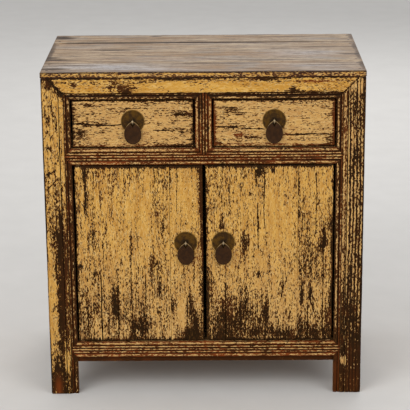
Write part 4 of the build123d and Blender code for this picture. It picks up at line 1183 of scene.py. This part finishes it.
# for each plank its loss of paint all over, its cracks (place from left to right, lower and upper end,
# half width, depth), then its worn patches and its red ones (place across and up, half sizes, amount)
DOOR_WEAR = {
    "door_left_hinge_plank": (71, 0.26, [
        (-264, 130, 326, 1.2, 4), (-186, 130, 440, 0.5, 0.6), (-124, 560, 606, 0.9, 2.2),
        (-300, 150, 240, 0.8, 1.2), (-222, 150, 300, 0.7, 1.2), (-151, 150, 330, 0.7, 1.0)], [
        (-299, 585, 6, 26, 1.7), (-297, 530, 5, 30, 1.5), (-300, 500, 6, 20, 0.9), (-283, 425, 9, 38, 0.75),
        (-314, 347, 9, 4, 1.9), (-278, 327, 5, 8, 1.5), (-231, 262, 8, 44, 1.25), (-227, 225, 6, 24, 1.1),
        (-129, 348, 16, 24, 0.85), (-115, 285, 5, 26, 1.0), (-122, 500, 7, 60, 0.6), (-105, 470, 8, 90, 0.3),
        (-165, 178, 26, 26, 0.9), (-190, 210, 90, 80, 0.45), (-296, 215, 26, 90, 0.55),
        (-245, 560, 60, 50, 0.25), (-150, 500, 26, 90, -0.45), (-210, 480, 30, 120, -0.2),
        (-170, 148, 170, 8, 0.5), (-180, 608, 170, 4, 1.0), (-322, 380, 3, 300, 0.5),
        (-235, 590, 20, 14, 0.5)], [(-240, 560, 40, 40, 0.2)]),
    "door_left_meeting_plank": (72, 0.28, [
        (-47, 130, 262, 1.0, 1.6), (-68, 480, 606, 0.7, 0.8), (-27, 300, 420, 0.7, 0.9)], [
        (-86, 572, 4, 34, 1.5), (-36, 160, 26, 18, 2.0), (-24, 195, 12, 28, 1.3), (-36, 240, 7, 34, 1.2),
        (-83, 237, 8, 20, 0.9), (-8, 525, 4, 90, 1.3), (-7, 360, 4, 200, 0.7), (-50, 530, 28, 55, -0.4),
        (-62, 215, 12, 40, -0.9), (-45, 608, 60, 4, 1.0), (-12, 596, 8, 10, 1.0)],
        [(-30, 372, 22, 24, 0.9), (-10, 500, 8, 120, 0.15)]),
    "door_right_meeting_plank": (73, 0.26, [
        (134, 385, 515, 0.8, 1.2), (52, 130, 300, 0.8, 1.6), (197, 250, 330, 0.8, 1.6),
        (150, 440, 606, 0.6, 0.7), (104, 170, 300, 0.7, 1.2)], [
        (138, 592, 9, 11, 2.0), (172, 597, 5, 6, 1.8), (130, 575, 4, 24, 1.2), (115, 535, 6, 6, 1.1),
        (103, 414, 10, 20, 1.3), (100, 385, 7, 22, 0.8), (42, 450, 6, 8, 1.3), (138, 323, 8, 8, 1.1),
        (197, 292, 7, 26, 0.8), (60, 200, 70, 50, 0.95), (40, 162, 40, 26, 0.9), (170, 190, 70, 60, 0.35),
        (14, 290, 9, 50, 0.8), (154, 222, 8, 30, 1.2), (150, 165, 60, 12, 0.8), (215, 160, 30, 18, 0.9),
        (188, 470, 40, 110, -0.4), (60, 560, 60, 60, 0.15), (120, 608, 150, 4, 0.7), (6, 380, 3, 260, 0.5),
        (80, 250, 50, 40, 0.3)], [(66, 372, 22, 26, 0.9)]),
    "door_right_hinge_plank": (74, 0.32, [
        (262, 130, 250, 0.8, 1.4), (300, 150, 470, 0.7, 1.0), (281, 420, 600, 0.6, 0.8)], [
        (236, 545, 4, 46, 1.3), (236, 400, 3, 90, 0.5), (238, 480, 5, 12, 0.8), (246, 262, 4, 30, 1.9),
        (269, 266, 4, 25, 1.7), (300, 428, 10, 18, 0.9), (316, 452, 6, 14, 1.0), (303, 405, 8, 14, 0.8),
        (296, 395, 9, 20, 0.8), (324, 330, 5, 220, 1.1), (315, 205, 14, 60, 0.8), (245, 175, 30, 40, 0.9),
        (290, 160, 40, 24, 0.9), (275, 560, 40, 60, -0.2), (278, 608, 60, 4, 0.9), (280, 330, 40, 60, 0.3),
        (262, 410, 12, 60, 0.4)], []),
}
PIN_TAPER = [(0, 1.0), (0.3, 0.995), (0.7, 0.99), (0.9, 0.985), (0.97, 0.93), (1.0, 0.8)]
PIN_ROOT = 2.0               # the pins start this deep inside the plank


def turned_pin(centre, start, end, seed):
    """A turned pin, slightly tapered and eased at its end."""
    levels, shares = np.array(PIN_TAPER).T
    angle = np.linspace(0, 2 * math.pi, PIVOT_SIDES, endpoint=False)
    points = np.empty((len(levels), PIVOT_SIDES, 3))
    points[..., 0] = centre[0] + (PIVOT_RADIUS * shares)[:, None] * np.cos(angle)
    points[..., 1] = centre[1] + (PIVOT_RADIUS * shares)[:, None] * np.sin(angle)
    points[..., 2] = (start + (end - start) * levels)[:, None]
    return points, {"bare": 1.0, "board": seed * 0.1}


def door_plank(name, seed, loss, cracks, patches, red):
    """The shells of a plank: the board itself and, where it is the hinge plank, its two pins."""
    left, hinged = "left" in name, "hinge" in name
    low, high = corners(name)
    pin_foot, pin_top = low[2], high[2]
    low[2], high[2] = door_low[2], door_high[2]
    width, thickness = high[0] - low[0], high[1] - low[1]
    near_edge_outside = left == hinged
    arrises = (DOOR_ARRIS, GLUE_ARRIS) if near_edge_outside else (GLUE_ARRIS, DOOR_ARRIS)
    lines = [crack[0] - low[0] for crack in cracks]
    depths = [6, 10, 14, 17.5]
    section = closed_section(eased_face(width, *arrises, DOOR_SPACING, lines), width, thickness,
                             depths, depths, 6)
    plank = Timber(section, places(low[2], high[2], DOOR_STEP, 1.5), UPRIGHT, (low[0], low[1], 0), seed,
                   loss=loss)
    plank.weather(0.3, 0.4, pitch=5.2)
    plank.nibble(1.0, 26)
    plank.ease_ends(1.5)
    for crack in cracks:
        plank.crack(*crack)
    plank.rub(patches)
    plank.rub(red, "ruddy")
    plank.bleach_and_glare += 0.1 + 0.35 * np.clip((460 - plank.along) / 300, 0, 1)
    plank.rim(1.9, 2.6, near=near_edge_outside, far=not near_edge_outside, dirt=0.5)
    plank.bare_behind()
    shells = [plank.shell()]
    if hinged:
        pin_x = low[0] + thickness / 2 if left else high[0] - thickness / 2
        for start, end in ((high[2] - PIN_ROOT, pin_top), (low[2] + PIN_ROOT, pin_foot)):
            shells.append(turned_pin((pin_x, (low[1] + high[1]) / 2), start, end, seed))
    return shells


for name, (seed, loss, cracks, patches, red) in DOOR_WEAR.items():
    body = "left_door" if "left" in name else "right_door"
    fit(name, door_plank(name, seed, loss, cracks, patches, red), lacquer_up, body)

BATTEN_HEIGHT = 40.0
BATTEN_ARRIS = 2.0
batten_depths = [5, 9, 13]
for seed, side in enumerate(("left", "right"), start=76):
    name = f"door_{side}_battens"
    low, high = corners(name)
    batten_face = eased_face(BATTEN_HEIGHT, BATTEN_ARRIS, BATTEN_ARRIS, 3)
    section = closed_section(batten_face, BATTEN_HEIGHT, high[1] - low[1], batten_depths, batten_depths, 4)
    shells = []
    for batten_seed, base in ((seed, low[2]), (seed + 5, high[2] - BATTEN_HEIGHT)):
        batten = Timber(section, places(low[0], high[0], 6, BATTEN_ARRIS), BACK_WAY, (0, high[1], base),
                        batten_seed)
        batten.weather(0.2, 0.3)
        batten.ease_ends(BATTEN_ARRIS)
        shells.append(batten.shell())
    fit(name, shells, sawn_level, f"{side}_door")

# ---- Drawers
# Solid fronts with soft edges, sides lapped into them, a back and a bottom of thin sawn boards. The
# fronts are painted like the doors, with the grain lying level and brown worn rims.
DRAWER_SPACING = 1.7
DRAWER_ARRIS = 2.2
# the fronts' wear, in the same order as the planks of the doors
DRAWER_WEAR = {
    "left": (81, 0.3, [
        (717, -330, -198, 1.1, 2.6), (717, -158, -130, 0.8, 1.4), (742, -80, -28, 0.9, 1.6),
        (700, -130, -60, 0.6, 0.8)], [
        (717, -262, 3, 66, 1.3), (743, -54, 8, 22, 1.1), (696, -52, 5, 6, 1.3), (690, -304, 20, 12, 1.0),
        (664, -60, 4, 36, 1.0), (766, -287, 5, 14, 1.2), (663, -220, 3, 90, 0.7), (745, -262, 5, 50, 0.3),
        (730, -190, 30, 70, -0.2), (684, -170, 16, 80, -0.35), (775, -170, 3, 160, 0.5)],
        [(663, -220, 5, 110, 0.5), (690, -156, 20, 20, 0.8)]),
    "right": (82, 0.2, [
        (710, 20, 100, 0.8, 1.6), (703, 90, 156, 0.9, 2.0), (689, 192, 286, 0.9, 2.2),
        (729, 230, 262, 0.6, 0.9)], [
        (708, 60, 3, 50, 0.9), (689, 86, 6, 13, 1.5), (681, 120, 4, 20, 1.4), (689, 238, 4, 50, 1.1),
        (752, 70, 9, 18, 1.0), (738, 52, 6, 12, 0.5), (720, 28, 60, 4, 1.0), (674, 312, 14, 9, 1.2),
        (668, 40, 6, 16, 1.2), (663, 170, 3, 150, 0.8), (720, 322, 60, 4, 1.0), (700, 175, 26, 60, -0.35),
        (742, 240, 20, 60, -0.25), (775, 170, 3, 160, 0.4)],
        [(689, 86, 7, 15, 0.9), (720, 28, 60, 6, 0.7), (663, 170, 5, 150, 0.6), (720, 322, 60, 5, 0.6),
         (690, 192, 20, 20, 0.8)]),
}
SIDE_BOARD = (Z, -X, Y)
# the boards behind a front: how they lie, spacing and step of their points, arris, wood, added to seed
DRAWER_BOARDS = {"outer_side": (SIDE_BOARD, 4, 8, 1.0, sawn_deep, 3),
                 "inner_side": (SIDE_BOARD, 4, 8, 1.0, sawn_deep, 4),
                 "back": (BACK_WAY, 4, 8, 1.0, sawn_level, 6),
                 "bottom": (TOP_WAY, 5, 9, 0.8, sawn_level, 8)}
for side, (seed, loss, cracks, patches, red) in DRAWER_WEAR.items():
    name = f"drawer_{side}_front"
    front = plain_board(name, LEVEL, seed, DRAWER_SPACING, 4, arris=DRAWER_ARRIS, loss=loss, cracks=cracks)
    front.nibble(1.4, 20)
    front.rub(patches)
    front.rub(red, "ruddy")
    front.rim(1.7, 2.6)
    front.bleach_and_glare += 0.5
    front.dirt_and_shade += 0.06
    front.bare_behind(INSIDE + 2)
    fit(name, [front.shell()], lacquer_level, f"{side}_drawer")
    for board_name, (way, spacing, step, arris, wood, added) in DRAWER_BOARDS.items():
        name = f"drawer_{side}_{board_name}"
        board = plain_board(name, way, seed + added, spacing, step, arris=arris)
        fit(name, [board.shell()], wood, f"{side}_drawer")

# ---- Pulls
# Old brass: a round plate, a split pin whose eye stands in front of it and whose ends are bent over
# behind the wood, and a drop cut like a leaf that swings in the eye. Dark olive-brown with age.
PLATE_TONES = ((52, 31, 1), (84, 55, 2), (128, 96, 40))
DROP_TONES = ((46, 24, 3), (58, 32, 5), (150, 122, 78))
PIN_TONES = ((104, 84, 56), (140, 118, 84), (214, 200, 172))
PLATE_RING = 1.6             # radius of the hole in the plate
PLATE_SIDES = 72
PLATE_DISH = 0.9             # the plate's middle stands forward of its edge
PLATE_HOLE_SHADE = [0.9, 0.9, 0.9, 0.4] + [0.0] * 8                        # painted shadow round the hole, behind the pin and the drop
EYE_RADIUS = 4.6
EYE_OPENING = 25             # degrees to either side of where the eye runs into its legs
PIN_WIRE = 1.3
PIN_SIDES = 14
EYE_SPREAD = 1.3             # the front of the eye is hammered wider by this much
LEG_WIRE = 0.68
CLINCH_LENGTH = 9.0
CLINCH_BEND = [(0.0, 6.5), (0.0, 4.0), (0.35, 2.0), (1.1, 1.05)]      # steps out of the wood and up it
DROP_THICKNESS = 2.0
DROP_APEX = 2.4
DROP_HALF_WIDTH = 21.3
DROP_SHOULDER = 31.5
DROP_LENGTH = 57.0
DROP_HOLE = [(-2.4, -1.5), (2.4, -1.5), (5.5, -6.5), (0, -13.5), (-5.5, -6.5)]
DROP_MIDDLE = -7.0           # level, inside the hole, from which the drop's outline is drawn
DROP_SIDES = 120
plate_brass = worn_metal("plate_brass", PLATE_TONES, 1.8, 0.45, 0.42)
drop_brass = worn_metal("drop_brass", DROP_TONES, 1.5, 0.45, 0.4)
pin_brass = worn_metal("pin_brass", PIN_TONES, 1.2, 0.85, 0.25)


def ring_shell(inner, outer, profile, centre, rub_and_highlight=1.0, dirt_and_shade=0.0):
    """A flat ring: at each angle a closed profile of (share of the way out, inset, height, proud)."""
    share, inset, height, proud = np.array(profile, float).T
    reach = outer - inner
    spread = share + inset / np.linalg.norm(reach, axis=1)[:, None]
    flat = inner[:, None, :] + reach[:, None, :] * spread[..., None]
    points = np.stack([centre[0] + flat[..., 0], centre[1] - height + 0 * spread,
                       centre[2] + flat[..., 1]], axis=-1)
    return points, {"proud": rub_and_highlight * proud, "dirt_and_shade": dirt_and_shade}


def outline_at(corners_2d, angles, middle):
    """Where rays from the middle meet a closed outline."""
    rays = corners_2d - np.array([0, middle])
    bearing = np.arctan2(rays[:, 1], rays[:, 0])
    order = np.argsort(bearing)
    radius = np.interp(angles, bearing[order], np.linalg.norm(rays, axis=1)[order], period=2 * math.pi)
    return np.column_stack([radius * np.cos(angles), middle + radius * np.sin(angles)])


def close_points(points, spacing):
    """Fills the straight stretches between points of a closed outline."""
    following = points[1:] + points[:1]
    return np.vstack([run(start, end, spacing) for start, end in zip(points, following)])


def wire_shell(path, radii, half_widths, sides):
    """Wire along a path that stays in one upright plane: its radius in that plane and across it."""
    path = np.array(path, float)
    trend = np.gradient(path, axis=0)
    trend /= np.linalg.norm(trend, axis=1)[:, None]
    side = np.tile(X, (len(path), 1))
    up = np.cross(side, trend)
    angle = np.linspace(0, 2 * math.pi, sides, endpoint=False)
    across = np.array(half_widths)[:, None, None] * np.cos(angle)[None, :, None] * side[:, None, :]
    within = np.array(radii)[:, None, None] * np.sin(angle)[None, :, None] * up[:, None, :]
    points = path[:, None, :] + across + within
    return points, {"proud": 0.3}


drop_bearings = np.linspace(-math.pi, math.pi, DROP_SIDES, endpoint=False)
arch_radius = (DROP_HALF_WIDTH ** 2 + (DROP_SHOULDER + DROP_APEX) ** 2) / (2 * DROP_HALF_WIDTH)
arch_levels = np.linspace(0, DROP_SHOULDER + DROP_APEX, 60)
arch_across = DROP_HALF_WIDTH - arch_radius + np.sqrt(arch_radius ** 2 - arch_levels ** 2)
bowl_angles = np.linspace(0, math.pi, 60)
drop_outline = np.vstack([
    np.column_stack([arch_across, arch_levels - DROP_SHOULDER]),
    np.column_stack([-arch_across, arch_levels - DROP_SHOULDER]),
    np.column_stack([DROP_HALF_WIDTH * np.cos(bowl_angles),
                     -DROP_SHOULDER - (DROP_LENGTH - DROP_SHOULDER) * np.sin(bowl_angles)])])
drop_outer = outline_at(drop_outline, drop_bearings, DROP_MIDDLE)
drop_inner = outline_at(close_points(DROP_HOLE, 0.4), drop_bearings, DROP_MIDDLE)
half_thick = DROP_THICKNESS / 2
# round the drop's section from the back of its hole to its rim and back
DROP_PROFILE = [(0, 0.0, -0.6, 0.0), (0, 0.0, 0.55, 0.1), (0, 0.4, 0.9, 0.3), (0.2, 0, 0.95, 0.1),
                (0.5, 0, 0.95, 0.0), (1, -3.2, 0.78, 0.0), (1, -2.2, 0.98, 0.35), (1, -0.7, 0.98, 0.5),
                (1, 0, 0.6, 0.6), (1, 0, -0.6, 0.4), (1, -0.5, -half_thick, 0.2), (0.5, 0, -half_thick, 0.0),
                (0, 0.5, -half_thick, 0.2)]
turned_bearings = (drop_bearings + np.pi / 2) % (2 * np.pi) - np.pi / 2
from_top = np.degrees(np.abs(turned_bearings - np.pi / 2))
drop_rub_and_highlight = 0.2 + 0.8 * np.clip((90 - from_top + 45) / 45, 0, 1)       # painted highlight: the rim is brightest on its upper half, where its edges catch the light
bearings = np.linspace(0, 2 * math.pi, PLATE_SIDES, endpoint=False)
round_line = np.column_stack([np.cos(bearings), np.sin(bearings)])


def pull_plate(centre, low, high, seed):
    """A round plate, dished from its hole outward, with a raised rim that isn't quite round."""
    wobble = 1 - 0.006 * (1 + wander(90 + seed, bearings * 2.2))
    back = high[1] - 0.02
    front = back - low[1]
    middle = front + PLATE_DISH
    profile = [(0, 0, 0.2, 0), (0, 0, middle - 0.3, 0.4), (0, 0.5, middle, 0.4),
               (0.25, 0, front + 0.8 * PLATE_DISH, 0.1), (0.5, 0, front + 0.5 * PLATE_DISH, 0.05),
               (0.75, 0, front + 0.2 * PLATE_DISH, 0), (1, -2.6, front - 0.15, 0),
               (1, -1.8, front + 0.05, 0.3), (1, -0.6, front, 0.55), (1, 0, front - 0.5, 0.6),
               (1, 0, 0.0, 0.3), (0.5, 0, 0.0, 0)]
    return ring_shell(round_line * PLATE_RING, round_line * ((high[0] - low[0]) / 2) * wobble[:, None],
                      profile, (centre[0], back, centre[2]), dirt_and_shade=PLATE_HOLE_SHADE)


def pull_pin(centre, low, high):
    """A split pin of one wire: two legs through the wood, bent over behind it, and the eye in front."""
    eye_y = low[1] + PIN_WIRE + EYE_RADIUS
    wood_back = high[1]
    turn = np.radians(np.linspace(EYE_OPENING, 360 - EYE_OPENING, 27))
    eye = [(centre[0], eye_y + EYE_RADIUS * math.cos(angle), centre[2] + EYE_RADIUS * math.sin(angle))
           for angle in turn]
    upper = [(centre[0], wood_back - LEG_WIRE, centre[2] + CLINCH_LENGTH)]
    upper += [(centre[0], wood_back - LEG_WIRE - inward, centre[2] + rise) for inward, rise in CLINCH_BEND]
    upper += [(centre[0], y, centre[2] + LEG_WIRE) for y in np.linspace(wood_back - 3, eye_y + 7.5, 6)]
    lower = [(x, y, 2 * centre[2] - z) for x, y, z in reversed(upper)]
    legs = [LEG_WIRE] * (len(upper) - 1) + [0.8]
    flattened = PIN_WIRE + EYE_SPREAD * hump(np.degrees(turn) - 165, 50)
    return wire_shell(upper + eye + lower, legs + [PIN_WIRE] * len(eye) + legs[::-1],
                      legs + flattened.tolist() + legs[::-1], PIN_SIDES)


def pull_drop(centre, low, high):
    """A flat drop with a raised rim, hung by its pointed hole."""
    return ring_shell(drop_inner, drop_outer, DROP_PROFILE,
                      (centre[0], (low[1] + high[1]) / 2, high[2] - DROP_APEX), drop_rub_and_highlight[:, None])


for seed, owner in enumerate(("door_left", "door_right", "drawer_left", "drawer_right")):
    kind, side = owner.split("_")
    body = f"{side}_{kind}"
    plate_low, plate_high = corners(f"pull_{owner}_plate")
    centre = (plate_low + plate_high) / 2
    plate = pull_plate(centre, plate_low, plate_high, seed)
    pin = pull_pin(centre, *corners(f"pull_{owner}_pin"))
    drop = pull_drop(centre, *corners(f"pull_{owner}_drop"))
    fit(f"pull_{owner}_plate", [plate], plate_brass, body, ring_shaped=True)
    fit(f"pull_{owner}_pin", [pin], pin_brass, body)
    fit(f"pull_{owner}_drop", [drop], drop_brass, f"{body}_pull", ring_shaped=True)
